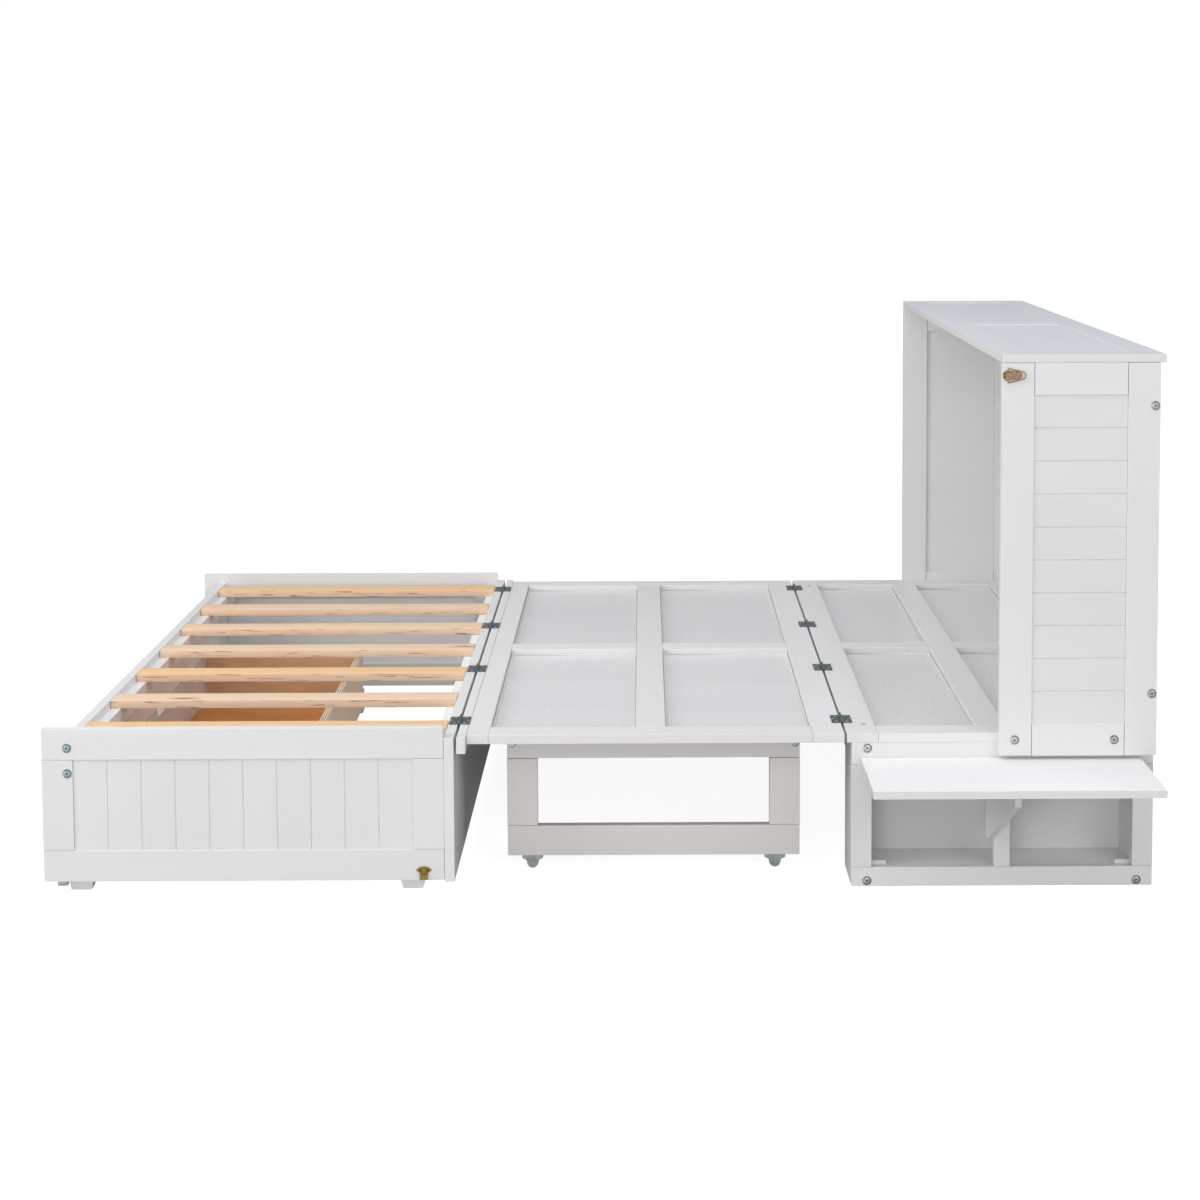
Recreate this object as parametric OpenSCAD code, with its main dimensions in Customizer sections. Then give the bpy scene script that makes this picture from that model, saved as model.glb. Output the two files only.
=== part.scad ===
// Folding cabinet bed: a chest whose front and foot box unfold into a full size bed.
// Lengths are in millimetres. X runs from the foot (-) to the head (+), Y from the near side (-)
// to the far side (+), Z up from the floor. Inside the modules X = 0 is the head hinge line and
// Y = 0 the middle of the bed; at_bed() moves everything to the middle of its own outline.

/* [Bed] */
// Width over the outer faces of the side boards
bed_w = 1432; // [1340:1:1560]
// Height of the mattress plane above the floor
bed_h = 273.5; // [268:0.5:290]
// Distance between the two fold lines
mid_pitch = 685; // [640:1:720]
// Gap between the boards at a fold line
fold_gap = 4.5; // [3:0.5:6]
// Thickness of the framed slabs
slab_t = 16; // [14:0.5:18]
// Thickness of the panels let into the slabs
slab_panel_t = 6; // [4:0.5:8]
// Width of the slab stiles and rails
slab_member = 55; // [40:1:70]
// Width of the members that cross the middle of a slab
slab_cross = 53; // [36:1:64]
// Depth of the grooves that hold the panels
groove = 8; // [5:1:12]
// Clearance round a panel in its groove
panel_play = 0.2; // [0.1:0.1:0.4]

/* [Foot box] */
// Length of the foot side boards past the frame at the drawer end
side_over = 36; // [28:1:42]
// Thickness of the foot side boards
foot_side_t = 17; // [14:0.5:17]
// Height of the foot side boards above the mattress plane
foot_lip = 19; // [10:0.5:19]
// Clearance from the floor to the foot side boards
foot_lift = 20.5; // [16:0.5:26]
// Width of the stiles and rails of the foot sides
foot_member = 55; // [40:1:64]
// Number of planks in a foot side
foot_planks = 10; // [6:1:14]
// Thickness of the grooved plank panels
plank_t = 9; // [7:0.5:9]
// Depth of the plank faces behind the frame
plank_recess = 2.5; // [1.5:0.5:4]
// Width of the V groove between planks
v_groove = 3; // [2:0.5:4]
// Thickness of the board at the foot fold line
hinge_board_t = 17.5; // [16:0.5:19]
// Depth of the rail under the middle slab at the foot fold line
hinge_rail_h = 28.5; // [22:0.5:36]
// Thickness of the frame at the drawer end
end_frame_t = 18; // [15:0.5:20]
// Number of slats
slat_count = 7; // [5:1:8]
// Width of a slat
slat_w = 55; // [40:1:70]
// Thickness of a slat
slat_t = 15; // [12:0.5:18]
// Distance between slat centres
slat_pitch = 207; // [170:1:212]
// Width of the ledgers under the slat ends
ledger_w = 20; // [16:1:30]
// Height of the ledgers under the slat ends
ledger_h = 30; // [20:1:40]

/* [Drawer] */
// Outer width of the drawer box
drawer_w = 908; // [700:1:980]
// Outer height of the drawer box
drawer_h = 124; // [90:1:135]
// Height of the drawer box above the floor
drawer_z = 30; // [28:0.5:34]
// Length of the drawer box behind its front
drawer_len = 356; // [300:1:420]
// Thickness of the drawer sides and back
drawer_t = 12; // [9:0.5:15]
// Thickness of the drawer bottom
drawer_base_t = 4; // [3:0.5:6]
// Height of the drawer bottom above the lower edge of the sides
drawer_base_up = 20; // [10:1:24]
// Height of the drawer runners
runner_h = 50; // [36:1:70]
// Thickness of the drawer runners
runner_t = 18; // [12:1:22]
// Gap round the drawer front
drawer_gap = 2.5; // [1.5:0.5:4]

/* [Legs] */
// Distance from the bed side to the outer face of a leg frame
leg_inset = 124; // [90:1:200]
// Thickness of the leg frames and their carrier
leg_t = 18; // [15:0.5:22]
// Width of the leg posts and the foot rail
leg_member = 55; // [40:1:62]
// Depth of the carrier under the middle slab
carrier_h = 55; // [45:1:60]
// Distance from the foot fold line to the leg frame
leg_start = 83; // [70:1:120]
// Length of the leg frames
leg_len = 529; // [460:1:540]
// Diameter of a caster wheel
wheel_d = 21; // [18:1:22]
// Width of a caster wheel
wheel_w = 12; // [9:1:14]
// Height from the floor to the leg frame
caster_h = 23.5; // [23:0.5:26]

/* [Head base] */
// Distance from the head fold line to the front of the base
base_start = 9.8; // [8:0.1:12]
// Thickness of the open side frames
base_frame_t = 16.5; // [14:0.5:20]
// Width of the outer posts of the side frames
base_post = 36; // [28:1:45]
// Width of the middle post of the side frames
base_mid_post = 28; // [22:1:36]
// Height of the top rail of the side frames
base_top_rail = 39.5; // [36:0.5:44]
// Height of the bottom rail of the side frames
base_low_rail = 34; // [26:1:42]
// Depth of a side shelf from the face of its frame
shelf_depth = 108; // [90:1:150]
// Thickness of the board behind a side shelf
shelf_back_t = 9; // [6:0.5:12]
// Depth of the cross rails under the head slab
cross_rail_h = 38; // [30:1:45]
// Thickness of the cross rails
cross_rail_t = 18; // [15:0.5:20]

/* [Shell] */
// Thickness of the shell sides and back
side_t = 18; // [18:0.5:20]
// Depth of the shell
shell_depth = 274; // [262:1:274]
// Distance from the underside of the head slab down to the lower edge of the shell sides
shell_down = 20; // [18:0.5:23]
// Distance from the upper edge of the shell sides to the fold line of the folded bed
shell_drop = 34.5; // [30:0.5:40]
// Gap between the folded foot box and the shell
shell_gap = 10.3; // [9.8:0.1:14]
// Width of the stiles and rails of the shell
shell_member = 56; // [45:1:64]
// Number of planks in a shell side
shell_planks = 10; // [6:1:14]
// Thickness of the top board
top_t = 14.5; // [12:0.5:18]
// Overhang of the top board behind the shell
top_over = 10; // [4:1:16]
// Depth of the panels in the top board
top_recess = 2; // [1:0.5:3]

/* [Side flaps] */
// Distance from the front of the base to a flap
flap_start = 16.6; // [10:0.1:24]
// Length of a flap along the bed
flap_len = 489; // [440:1:500]
// Gap between a closed flap and the floor
flap_floor = 6.5; // [5:0.5:30]
// Thickness of a flap
flap_t = 13; // [10:0.5:13]
// Reach of the swing bracket from its hinge pin
bracket_len = 165; // [130:1:168]
// Height of the bracket at its hinge
bracket_root = 129; // [100:1:150]
// Height of the bracket at its nose
bracket_nose = 27; // [15:1:40]
// Thickness of the bracket
bracket_t = 11; // [8:0.5:11]
// Angle that the bracket swings past square when open
bracket_over = 8.5; // [0:0.5:10]

/* [Hinges and bolts] */
// Height of a hinge pin above the boards
pin_h = 3.5; // [3.5:0.1:4.5]
// Radius of a hinge knuckle
knuckle_r = 2.8; // [2.4:0.1:2.8]
// Radius of a hinge pin
pin_r = 1.5; // [1:0.1:1.6]
// Clearance of a pin in the moving knuckle
pin_play = 0.06; // [0.02:0.01:0.1]
// Thickness of a hinge leaf
leaf_t = 1.5; // [1:0.1:1.5]
// Width of a fold hinge leaf from its pin
leaf_w = 18; // [14:0.5:19.5]
// Length of a fold hinge
fold_hinge_len = 51; // [36:1:60]
// Distance of the inner pair of fold hinges from the middle
hinge_in = 200; // [150:1:240]
// Distance of the outer pair of fold hinges from the middle
hinge_out = 600; // [520:1:620]
// Length of the small hinges on flaps, bracket and legs
small_hinge_len = 34; // [24:1:36]
// Width of a small hinge leaf from its pin
small_leaf_w = 15.5; // [12:0.5:15.5]
// Clearance between knuckles
knuckle_gap = 0.4; // [0.3:0.1:0.8]
// Diameter of a bolt head
bolt_d = 16; // [12:0.5:18]
// Distance of the upper foot bolt below the mattress plane
bolt_down = 15; // [10:1:20]
// Distance between the two foot bolts
bolt_pitch = 45; // [30:1:80]
// Height of a bolt head
bolt_h = 2; // [1:0.5:2]
// Diameter of a bolt's raised middle
bolt_head = 10.5; // [8:0.5:12]
// Width across the flats of the bolt socket
bolt_key = 4.5; // [4:0.5:6]
// Distance of the upper shell bolt below the shell's upper edge
shell_bolt_down = 75; // [50:1:120]
// Distance of the lower shell bolt above the shell's lower edge
shell_bolt_up = 110; // [60:1:160]
// Distance of the shell's front foot bolt from its front edge
shell_bolt_front = 26; // [20:1:40]
// Distance of the shell's rear foot bolt from its rear edge
shell_bolt_rear = 74; // [60:1:110]

/* [Latch] */
// Distance of the catches from the fold end of the foot sides
catch_in = 36.5; // [30:0.5:42]
// Length of the latch lever from its pivot
lever_len = 27; // [22:0.5:28]
// Half height of the latch lever
lever_half = 7.2; // [6:0.1:7.5]
// Radius of the bail wire
bail_r = 0.9; // [0.7:0.1:1]
// Height of the latch over the shell face
latch_proud = 5.2; // [5:0.1:6]
// Height of the catch above the lower edge of the foot side
catch_up = 1.7; // [1:0.1:4]

/* [Hidden] */
$fn = 48;

paint = [0.93, 0.93, 0.93];
panel_paint = [0.86, 0.87, 0.88];
pine = [0.93, 0.78, 0.58];
ply = [0.82, 0.72, 0.58];
hardboard = [0.75, 0.47, 0.26];
zinc = [0.66, 0.70, 0.73];
dark_zinc = [0.24, 0.30, 0.33];
yellow_zinc = [0.72, 0.62, 0.30];
grey_plastic = [0.55, 0.57, 0.58];

eps = 0.01;
touch = 0.5;
near = -1;
far = 1;

// places along the bed, from the head fold line
x_foot_fold = -mid_pitch;
half_gap = fold_gap / 2;
x_side_end = x_foot_fold - half_gap - hinge_board_t;
fold_reach = pin_h - leaf_t - touch;
x_end_frame = x_foot_fold - mid_pitch - fold_reach;
x_side_start = x_end_frame - side_over;
foot_len = x_side_end - x_side_start;
x_box = x_end_frame + end_frame_t;
rail_t = hinge_board_t - 1;
x_mid_slab = x_foot_fold + half_gap + rail_t;
x_shell = bed_h + pin_h - foot_lift + shell_gap;
x_base_back = x_shell + shell_depth;
base_len = x_base_back - base_start;
x_shell_back = x_base_back - side_t;
x_top_back = x_base_back + top_over;
x_mid_post = base_start + (base_len - base_mid_post) / 2;

// places across the bed, measured out from the middle
y_side = bed_w / 2;
y_slab = y_side - side_t;
y_foot_in = y_side - foot_side_t;
y_frame_in = y_slab - base_frame_t;
y_shelf = y_slab - shelf_depth;
y_shelf_back = y_shelf - shelf_back_t;
y_leg = y_side - leg_inset;
y_leg_in = y_leg - leg_t;

// heights
z_slab = bed_h - slab_t;
z_pin = bed_h + pin_h;
z_lip = bed_h + foot_lip;
z_carrier = z_slab - carrier_h;
z_flap = z_slab - base_top_rail;
z_flap_pin = z_flap - pin_h;
flap_w = z_flap_pin - flap_floor;
shell_low = z_slab - shell_down;
z_fold_top = z_pin + mid_pitch;
shell_high = z_fold_top - shell_drop;
x_catch = x_side_end - catch_in;
z_latch = z_fold_top - (x_foot_fold - x_catch);
x_leg = x_foot_fold + leg_start;
rim = (slab_t - slab_panel_t) / 2;
drawer_open_w = drawer_w + 4 * drawer_gap;
drawer_top = drawer_z + drawer_h;
hinge_rows = [-hinge_out, -hinge_in, hinge_in, hinge_out];

// the latch's own points, along from the shell's front edge and out from its face
lever_pivot = [6.2, 3];
bail_pivot = [9.8, 3.2];
lip_h = 7.7;
bail_len = x_shell + bail_pivot[0] - (z_pin - foot_lift - catch_up - lip_h - bail_r);

x_shift = -(x_side_start + x_top_back) / 2;
y_shift = (flap_w - side_t - latch_proud) / 2;
module at_bed() translate([x_shift, y_shift, 0]) children();

// a box from its two corners, one of them on the near or far side
module block(x0, x1, y0, y1, z0, z1) translate([x0, y0, z0]) cube([x1 - x0, y1 - y0, z1 - z0]);

// the same box on one side of the bed, with its distances measured out from the middle
module side_block(s, x0, x1, y_in, y_out, z0, z1)
  block(x0, x1, s < 0 ? -y_out : y_in, s < 0 ? -y_in : y_out, z0, z1);

module both_sides() for (s = [near, far]) scale([1, s, 1]) children();

// turns a flat shape drawn in X and Z into a board that stands along the bed,
// from y_in to y_out out from the middle, on side s
module along(s, y_in, y_out)
  translate([0, s < 0 ? -y_in : y_out, 0]) rotate([90, 0, 0]) linear_extrude(y_out - y_in) children();

// turns a flat shape drawn in Y and Z into a board across the bed from x0 to x1
module across(x0, x1)
  translate([x0, 0, 0]) rotate([90, 0, 90]) linear_extrude(x1 - x0) children();

// a rectangle from its two corners
module rect(u0, u1, v0, v1) translate([u0, v0]) square([u1 - u0, v1 - v0]);

// a grooved panel's cross section: length along u, inner face at v = 0, grooved outer face at v = t
module plank_section(length, t, count) {
  pitch = length / count;
  half = v_groove / 2;
  difference() {
    square([length, t]);
    for (i = [1 : count - 1])
      translate([i * pitch, t]) rotate(45) square(half * sqrt(2), center = true);
  }
}

// the members of a slab in plan: stiles at both ends, rails along both edges, a cross in the middle
module slab_plan(x0, x1, stile0, stile1, grow = 0) {
  x_mid = (x0 + stile0 + x1 - stile1) / 2;
  for (s = [near, far], end = [0, 1]) {
    u0 = end == 0 ? x0 + stile0 : x_mid + slab_cross / 2;
    u1 = end == 0 ? x_mid - slab_cross / 2 : x1 - stile1;
    v0 = slab_cross / 2;
    v1 = y_slab - slab_member;
    scale([1, s]) rect(u0 - grow, u1 + grow, v0 - grow, v1 + grow);
  }
}

module slab_frame(x0, x1, stile0, stile1) {
  difference() {
    block(x0, x1, -y_slab, y_slab, z_slab, bed_h);
    translate([0, 0, z_slab - 1]) linear_extrude(slab_t + 2) slab_plan(x0, x1, stile0, stile1);
    translate([0, 0, z_slab + rim - panel_play]) linear_extrude(slab_panel_t + 2 * panel_play)
      slab_plan(x0, x1, stile0, stile1, groove);
  }
}

module slab_panels(x0, x1, stile0, stile1)
  translate([0, 0, z_slab + rim]) linear_extrude(slab_panel_t)
    slab_plan(x0, x1, stile0, stile1, groove - panel_play);

// one half of a butt hinge along Y, with its pin on X = 0, Z = 0: the leaf runs to side d of the
// pin and lies on a board pin_h below it; the outer knuckles belong to the fixed half
module hinge_half(d, length, fixed, width = leaf_w, height = pin_h) {
  third = length / 3;
  spans = fixed ? [[0, third], [2 * third, length]] : [[third + knuckle_gap, 2 * third - knuckle_gap]];
  clear = knuckle_r + 0.3;
  scale([d, 1, 1]) translate([0, -length / 2, 0]) difference() {
    union() {
      translate([clear, 0, -height]) cube([width - clear, length, leaf_t]);
      for (span = spans) {
        translate([0, span[0], -height]) cube([clear + eps, span[1] - span[0], leaf_t]);
        translate([0, span[0], 0]) rotate([-90, 0, 0]) cylinder(r = knuckle_r, h = span[1] - span[0]);
      }
    }
    if (!fixed) translate([0, -1, 0]) rotate([-90, 0, 0]) cylinder(r = pin_r + pin_play, h = length + 2);
  }
  if (fixed) translate([0, -length / 2, 0]) rotate([-90, 0, 0]) cylinder(r = pin_r, h = length);
}

// a cap bolt with its head's underside at the origin and its axis along Z
module cap_bolt() {
  difference() {
    union() {
      cylinder(d = bolt_d, h = bolt_h * 0.4);
      cylinder(d = bolt_head, h = bolt_h * 0.75);
      translate([0, 0, bolt_h * 0.75 - eps])
        cylinder(d1 = bolt_head, d2 = bolt_head - bolt_h, h = bolt_h / 4 + eps);
    }
    translate([0, 0, bolt_h * 0.3]) cylinder(d = bolt_key * 2 / sqrt(3), h = bolt_h, $fn = 6);
  }
}

// a bolt on a side face: x along the bed, y the face's distance from the middle, z its height
module side_bolt(s, x, y, z) translate([x, s * y, z]) rotate([-s * 90, 0, 0]) cap_bolt();

/* Foot box */
module foot_side(s) {
  color(paint) at_bed() along(s, y_foot_in, y_side) difference() {
    rect(x_side_start, x_side_end, foot_lift, z_lip);
    rect(x_side_start + foot_member, x_side_end - foot_member, foot_lift + foot_member, z_lip - foot_member);
  }
}
module foot_side_near() foot_side(near);
module foot_side_far() foot_side(far);

module foot_side_planks() {
  length = foot_len - 2 * foot_member;
  color(panel_paint) at_bed() both_sides()
    translate([x_side_start + foot_member, y_side - plank_recess - plank_t, foot_lift + foot_member])
      linear_extrude(z_lip - foot_lift - 2 * foot_member) plank_section(length, plank_t, foot_planks);
}

module foot_hinge_board() {
  color(paint) at_bed()
    block(x_side_end, x_side_end + hinge_board_t, -y_side, y_side, foot_lift - 3, bed_h);
}

module foot_end_frame() {
  stile_in = drawer_open_w / 2;
  plank_top = bed_h - foot_member;
  count = 4;
  pitch = (y_foot_in - stile_in - foot_member) / (count - 1);
  color(paint) at_bed() difference() {
    across(x_end_frame, x_box) difference() {
      rect(-y_foot_in, y_foot_in, foot_lift, bed_h);
      rect(-stile_in, stile_in, foot_lift - 1, drawer_top + 2 * drawer_gap);
    }
    for (s = [near, far], i = [0 : count - 1], x = [x_end_frame, x_box])
      translate([x, s * (stile_in + foot_member / 2 + i * pitch), foot_lift - 1]) rotate(45)
        translate([-v_groove / 2, -v_groove / 2, 0]) cube([v_groove, v_groove, plank_top - foot_lift + 1]);
  }
}

module slat_ledgers() {
  top = bed_h - slat_t;
  color(paint) at_bed() {
    block(x_box, x_box + ledger_w, -y_foot_in, y_foot_in, top - ledger_h, top);
    block(x_side_end - ledger_w, x_side_end, -y_foot_in, y_foot_in, top - ledger_h, top);
  }
}

module slats() {
  color(pine) at_bed() for (i = [0 : slat_count - 1])
    translate([x_box + 1, (i - (slat_count - 1) / 2) * slat_pitch - slat_w / 2, bed_h - slat_t])
      cube([x_side_end - x_box - 2, slat_w, slat_t]);
}

module block_feet() {
  top_w = 44;
  low_w = 35;
  deep = 26;
  tall = 30;
  lean = (top_w - low_w) / 2;
  places = [x_end_frame + top_w / 2 + 2.5, x_side_end - top_w / 2 - 36];
  color(paint) at_bed() both_sides() for (x = places) {
    translate([x, y_foot_in - 2, 0]) rotate([90, 0, 0]) linear_extrude(deep)
      polygon([[-low_w / 2, 0], [low_w / 2, 0], [top_w / 2, foot_lift], [-top_w / 2, foot_lift]]);
    x0 = max(x - top_w / 2, x_box);
    translate([x0, y_foot_in - 2 - deep, foot_lift]) cube([x + top_w / 2 - x0, deep + 2, tall]);
  }
}

module bumper_glides() {
  length = 17.5;
  tall = 9;
  ribs = 5;
  rib = length / (2 * ribs - 1);
  color(grey_plastic) at_bed() both_sides()
    translate([x_side_start + 23, y_foot_in + 3, foot_lift - tall]) {
      translate([0, 0, tall / 2]) cube([length, 11, tall / 2]);
      for (i = [0 : ribs - 1]) translate([2 * i * rib, 0, 0]) cube([rib, 11, tall / 2 + eps]);
    }
}

module foot_bolts() {
  x = x_end_frame + end_frame_t / 2;
  color(zinc) at_bed() for (s = [near, far], z = [bed_h - bolt_down, bed_h - bolt_down - bolt_pitch])
    side_bolt(s, x, y_side, z);
}

module foot_fold_leaves() {
  color(dark_zinc) at_bed() for (y = hinge_rows) translate([x_foot_fold, y, z_pin])
    hinge_half(-1, fold_hinge_len, false);
}

// a fan-shaped plate that ends in a rolled lip; the latch's bail drops behind the lip
module catches() {
  neck = 7.25;
  fan = 13.4;
  fan_z = 16;
  tall = 23.5;
  plate = 1.2;
  arm = lip_h + 2.2;
  out = 4.4;
  color(yellow_zinc) at_bed() both_sides() translate([x_catch, y_side, foot_lift + catch_up]) {
    rotate([90, 0, 180]) linear_extrude(plate) intersection() {
      translate([0, tall - 17]) circle(r = 17);
      polygon([[-neck, lip_h], [neck, lip_h], [neck, fan_z - 5.3], [fan, fan_z], [fan, tall + 1],
        [-fan, tall + 1], [-fan, fan_z], [-neck, fan_z - 5.3]]);
    }
    translate([-neck, 0, 0]) rotate([90, 0, 90]) linear_extrude(2 * neck)
      polygon([[0, lip_h + eps], [0, 1.6], [1.6, 0], [out - 1, 0], [out, 1.2], [out, arm], [out - 1, arm],
        [out - 1, lip_h - 1.4], [plate, lip_h - 1.4], [plate, lip_h + eps]]);
  }
}

/* Drawer */
module drawer_runners() {
  y0 = drawer_w / 2 + 2;
  ledge = 16;
  color(paint) at_bed() both_sides() {
    translate([x_box, y0, foot_lift]) cube([drawer_len, runner_t, runner_h]);
    translate([x_box, y0 - ledge, foot_lift]) cube([drawer_len, ledge + eps, drawer_z - touch - foot_lift]);
  }
}

module drawer_front() {
  w = drawer_open_w - 2 * drawer_gap;
  pull_w = 110;
  pull_h = 16;
  color(paint) at_bed() across(x_end_frame, x_box - eps) difference() {
    rect(-w / 2, w / 2, foot_lift + 3, drawer_top + drawer_gap);
    for (d = [-1, 1]) translate([d * (pull_w / 2 - pull_h), drawer_top + drawer_gap]) circle(r = pull_h);
    rect(pull_h - pull_w / 2, pull_w / 2 - pull_h, drawer_top + drawer_gap - pull_h,
      drawer_top + 2 * drawer_gap);
  }
}

module drawer_box() {
  x1 = x_box + drawer_len;
  base_z = drawer_z + drawer_base_up;
  inner = drawer_w / 2 - drawer_t;
  cut = 5;
  color(ply) at_bed() difference() {
    union() {
      both_sides() translate([x_box, inner, drawer_z]) cube([drawer_len, drawer_t, drawer_h]);
      block(x1 - drawer_t, x1, -inner - eps, inner + eps, drawer_z, drawer_top);
    }
    block(x_box - 1, x1 - drawer_t + cut + panel_play, -drawer_w / 2 + drawer_t - cut - panel_play,
      drawer_w / 2 - drawer_t + cut + panel_play, base_z - panel_play, base_z + drawer_base_t + panel_play);
  }
}

module drawer_bottom() {
  base_z = drawer_z + drawer_base_up;
  cut = 5;
  color(hardboard) at_bed() block(x_box, x_box + drawer_len - drawer_t + cut,
    -drawer_w / 2 + drawer_t - cut, drawer_w / 2 - drawer_t + cut, base_z, base_z + drawer_base_t);
}

/* Middle section */
module mid_slab_frame()
  color(paint) at_bed() slab_frame(x_mid_slab, -half_gap, slab_member - rail_t, slab_member);
module mid_slab_panels()
  color(panel_paint) at_bed() slab_panels(x_mid_slab, -half_gap, slab_member - rail_t, slab_member);

module hinge_rail() {
  color(paint) at_bed()
    block(x_foot_fold + half_gap, x_mid_slab, -y_side, y_side, bed_h - hinge_rail_h, bed_h);
}

module leg_carrier() {
  x1 = x_leg + leg_len;
  color(paint) at_bed() difference() {
    block(x_leg, x1, -y_leg, y_leg, z_carrier, z_slab);
    block(x_leg + leg_t, x1 - leg_t, -y_leg_in, y_leg_in, z_carrier - 1, z_slab + 1);
  }
}

module mid_bolts() {
  color(zinc) at_bed() for (s = [near, far], x = [x_leg + leg_t / 2, x_leg + leg_len - leg_t / 2])
    side_bolt(s, x, y_leg, z_carrier + carrier_h / 2);
}

module mid_fold_leaves() {
  color(dark_zinc) at_bed() for (y = hinge_rows) {
    translate([x_foot_fold, y, z_pin]) hinge_half(1, fold_hinge_len, true);
    translate([0, y, z_pin]) hinge_half(-1, fold_hinge_len, false);
  }
}

// the two small hinges of a leg frame, at the inner face of the carrier
module leg_hinges(s, fixed) {
  inset = leg_t + 1 + small_hinge_len / 2;
  for (x = [x_leg + inset, x_leg + leg_len - inset])
    translate([x, s * (y_leg_in - pin_h), z_carrier]) rotate([0, 0, 90]) rotate([0, -s * 90, 0])
      hinge_half(fixed ? s : -s, small_hinge_len, fixed, small_leaf_w);
}

module leg_hinge_top_leaves() color(dark_zinc) at_bed() for (s = [near, far]) leg_hinges(s, true);
module leg_hinge_leaves_near() color(dark_zinc) at_bed() leg_hinges(near, false);
module leg_hinge_leaves_far() color(dark_zinc) at_bed() leg_hinges(far, false);

/* Leg frames and casters */
module leg_frame(s) {
  x1 = x_leg + leg_len;
  color(paint) at_bed() along(s, y_leg_in, y_leg) difference() {
    rect(x_leg, x1, caster_h, z_carrier - touch);
    rect(x_leg + leg_member, x1 - leg_member, caster_h + leg_member, z_carrier);
  }
}
module leg_frame_near() leg_frame(near);
module leg_frame_far() leg_frame(far);

caster_in = 45;
caster_plate = 38;
fork_t = 1.5;
ear_gap = 0.6;
axle_r = 2;
function caster_x(end) = end == 0 ? x_leg + caster_in : x_leg + leg_len - caster_in;

module caster_fork() {
  wheel_r = wheel_d / 2;
  ear_r = wheel_r - 0.6;
  flare = caster_plate / 2;
  top = caster_h - 1.8 - wheel_r + eps;
  ear_y = wheel_w / 2 + ear_gap;
  translate([-caster_plate / 2, -leg_t / 2, caster_h - 1.8]) cube([caster_plate, leg_t, 1.8]);
  for (d = [-1, 1]) translate([0, d * (ear_y + fork_t / 2), wheel_r]) rotate([90, 0, 0])
    linear_extrude(fork_t, center = true) {
      circle(r = ear_r);
      polygon([[-flare, top], [-flare, top - 3.2], [-ear_r - 4.4, top - 5.4], [-ear_r - 1.6, top - 7],
        [-ear_r - 0.3, top - 8.8], [-ear_r, 0], [ear_r, 0], [ear_r + 0.3, top - 8.8],
        [ear_r + 1.6, top - 7], [ear_r + 4.4, top - 5.4], [flare, top - 3.2], [flare, top]]);
    }
  translate([0, 0, wheel_r]) rotate([90, 0, 0])
    cylinder(r = axle_r, h = 2 * (ear_y + fork_t) + 1.6, center = true);
}

module caster_forks(s) color(zinc) at_bed() for (end = [0, 1])
  translate([caster_x(end), s * (y_leg - leg_t / 2), 0]) caster_fork();
module caster_forks_near() caster_forks(near);
module caster_forks_far() caster_forks(far);

module caster_wheel(s, end) {
  wheel_r = wheel_d / 2;
  soft = 1.2;
  color(grey_plastic) at_bed() translate([caster_x(end), s * (y_leg - leg_t / 2), wheel_r])
    rotate([90, 0, 0]) rotate_extrude() polygon([
      [axle_r + pin_play, -wheel_w / 2], [wheel_r - soft, -wheel_w / 2], [wheel_r, -wheel_w / 2 + soft],
      [wheel_r, wheel_w / 2 - soft], [wheel_r - soft, wheel_w / 2], [axle_r + pin_play, wheel_w / 2]
    ]);
}
module caster_wheel_near_foot() caster_wheel(near, 0);
module caster_wheel_near_head() caster_wheel(near, 1);
module caster_wheel_far_foot() caster_wheel(far, 0);
module caster_wheel_far_head() caster_wheel(far, 1);

/* Head base */
// the bolts of a base frame, sunk so that the folded foot sides pass over them
base_bolts = [[base_start + 28, 9.5], [x_base_back - 28, 9.5], [base_start + 28, z_slab - 10]];
bolt_play = 0.5;

module base_side_frame(s) {
  color(paint) at_bed() difference() {
    along(s, y_frame_in, y_slab) difference() {
      rect(base_start, x_base_back, 0, z_slab);
      rect(base_start + base_post, x_mid_post, base_low_rail, z_flap);
      rect(x_mid_post + base_mid_post, x_base_back - base_post, base_low_rail, z_flap);
    }
    for (b = base_bolts) translate([b[0], s * (y_slab - bolt_h - 0.2), b[1]]) rotate([-s * 90, 0, 0])
      cylinder(d = bolt_d + 2 * bolt_play, h = bolt_h + 1);
  }
}
module base_side_frame_near() base_side_frame(near);
module base_side_frame_far() base_side_frame(far);

module base_end_boards() {
  color(paint) at_bed() both_sides() for (x = [base_start, x_base_back - base_post])
    translate([x, y_shelf_back, 0]) cube([base_post, y_frame_in - y_shelf_back, z_slab]);
}

module shelf_backs() {
  color(panel_paint) at_bed() both_sides()
    translate([base_start + base_post, y_shelf_back, 0])
      cube([base_len - 2 * base_post, shelf_back_t, z_slab]);
}

module shelf_floors() {
  floor_t = 9;
  color(panel_paint) at_bed() both_sides()
    translate([base_start + base_post, y_shelf, base_low_rail - 1 - floor_t])
      cube([base_len - 2 * base_post, y_frame_in - y_shelf, floor_t]);
}

module corner_blocks() {
  leg_x = 27;
  leg_y = 42;
  color(paint) at_bed() both_sides()
    for (end = [[base_start + base_post, 1], [x_base_back - base_post, -1]])
      translate([end[0], y_frame_in, base_low_rail - 1]) linear_extrude(8)
        polygon([[0, 0], [end[1] * leg_x, 0], [0, -leg_y]]);
}

module base_cross_rails() {
  color(paint) at_bed() {
    for (x = [base_start, x_base_back - cross_rail_t])
      block(x, x + cross_rail_t, -y_shelf_back, y_shelf_back, z_slab - cross_rail_h, z_slab);
    block(x_base_back - cross_rail_t, x_base_back, -y_shelf_back, y_shelf_back, 0, cross_rail_h);
  }
}

module head_slab_frame() color(paint) at_bed() slab_frame(half_gap, x_shell_back, slab_member, slab_member);
module head_slab_panels()
  color(panel_paint) at_bed() slab_panels(half_gap, x_shell_back, slab_member, slab_member);

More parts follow.
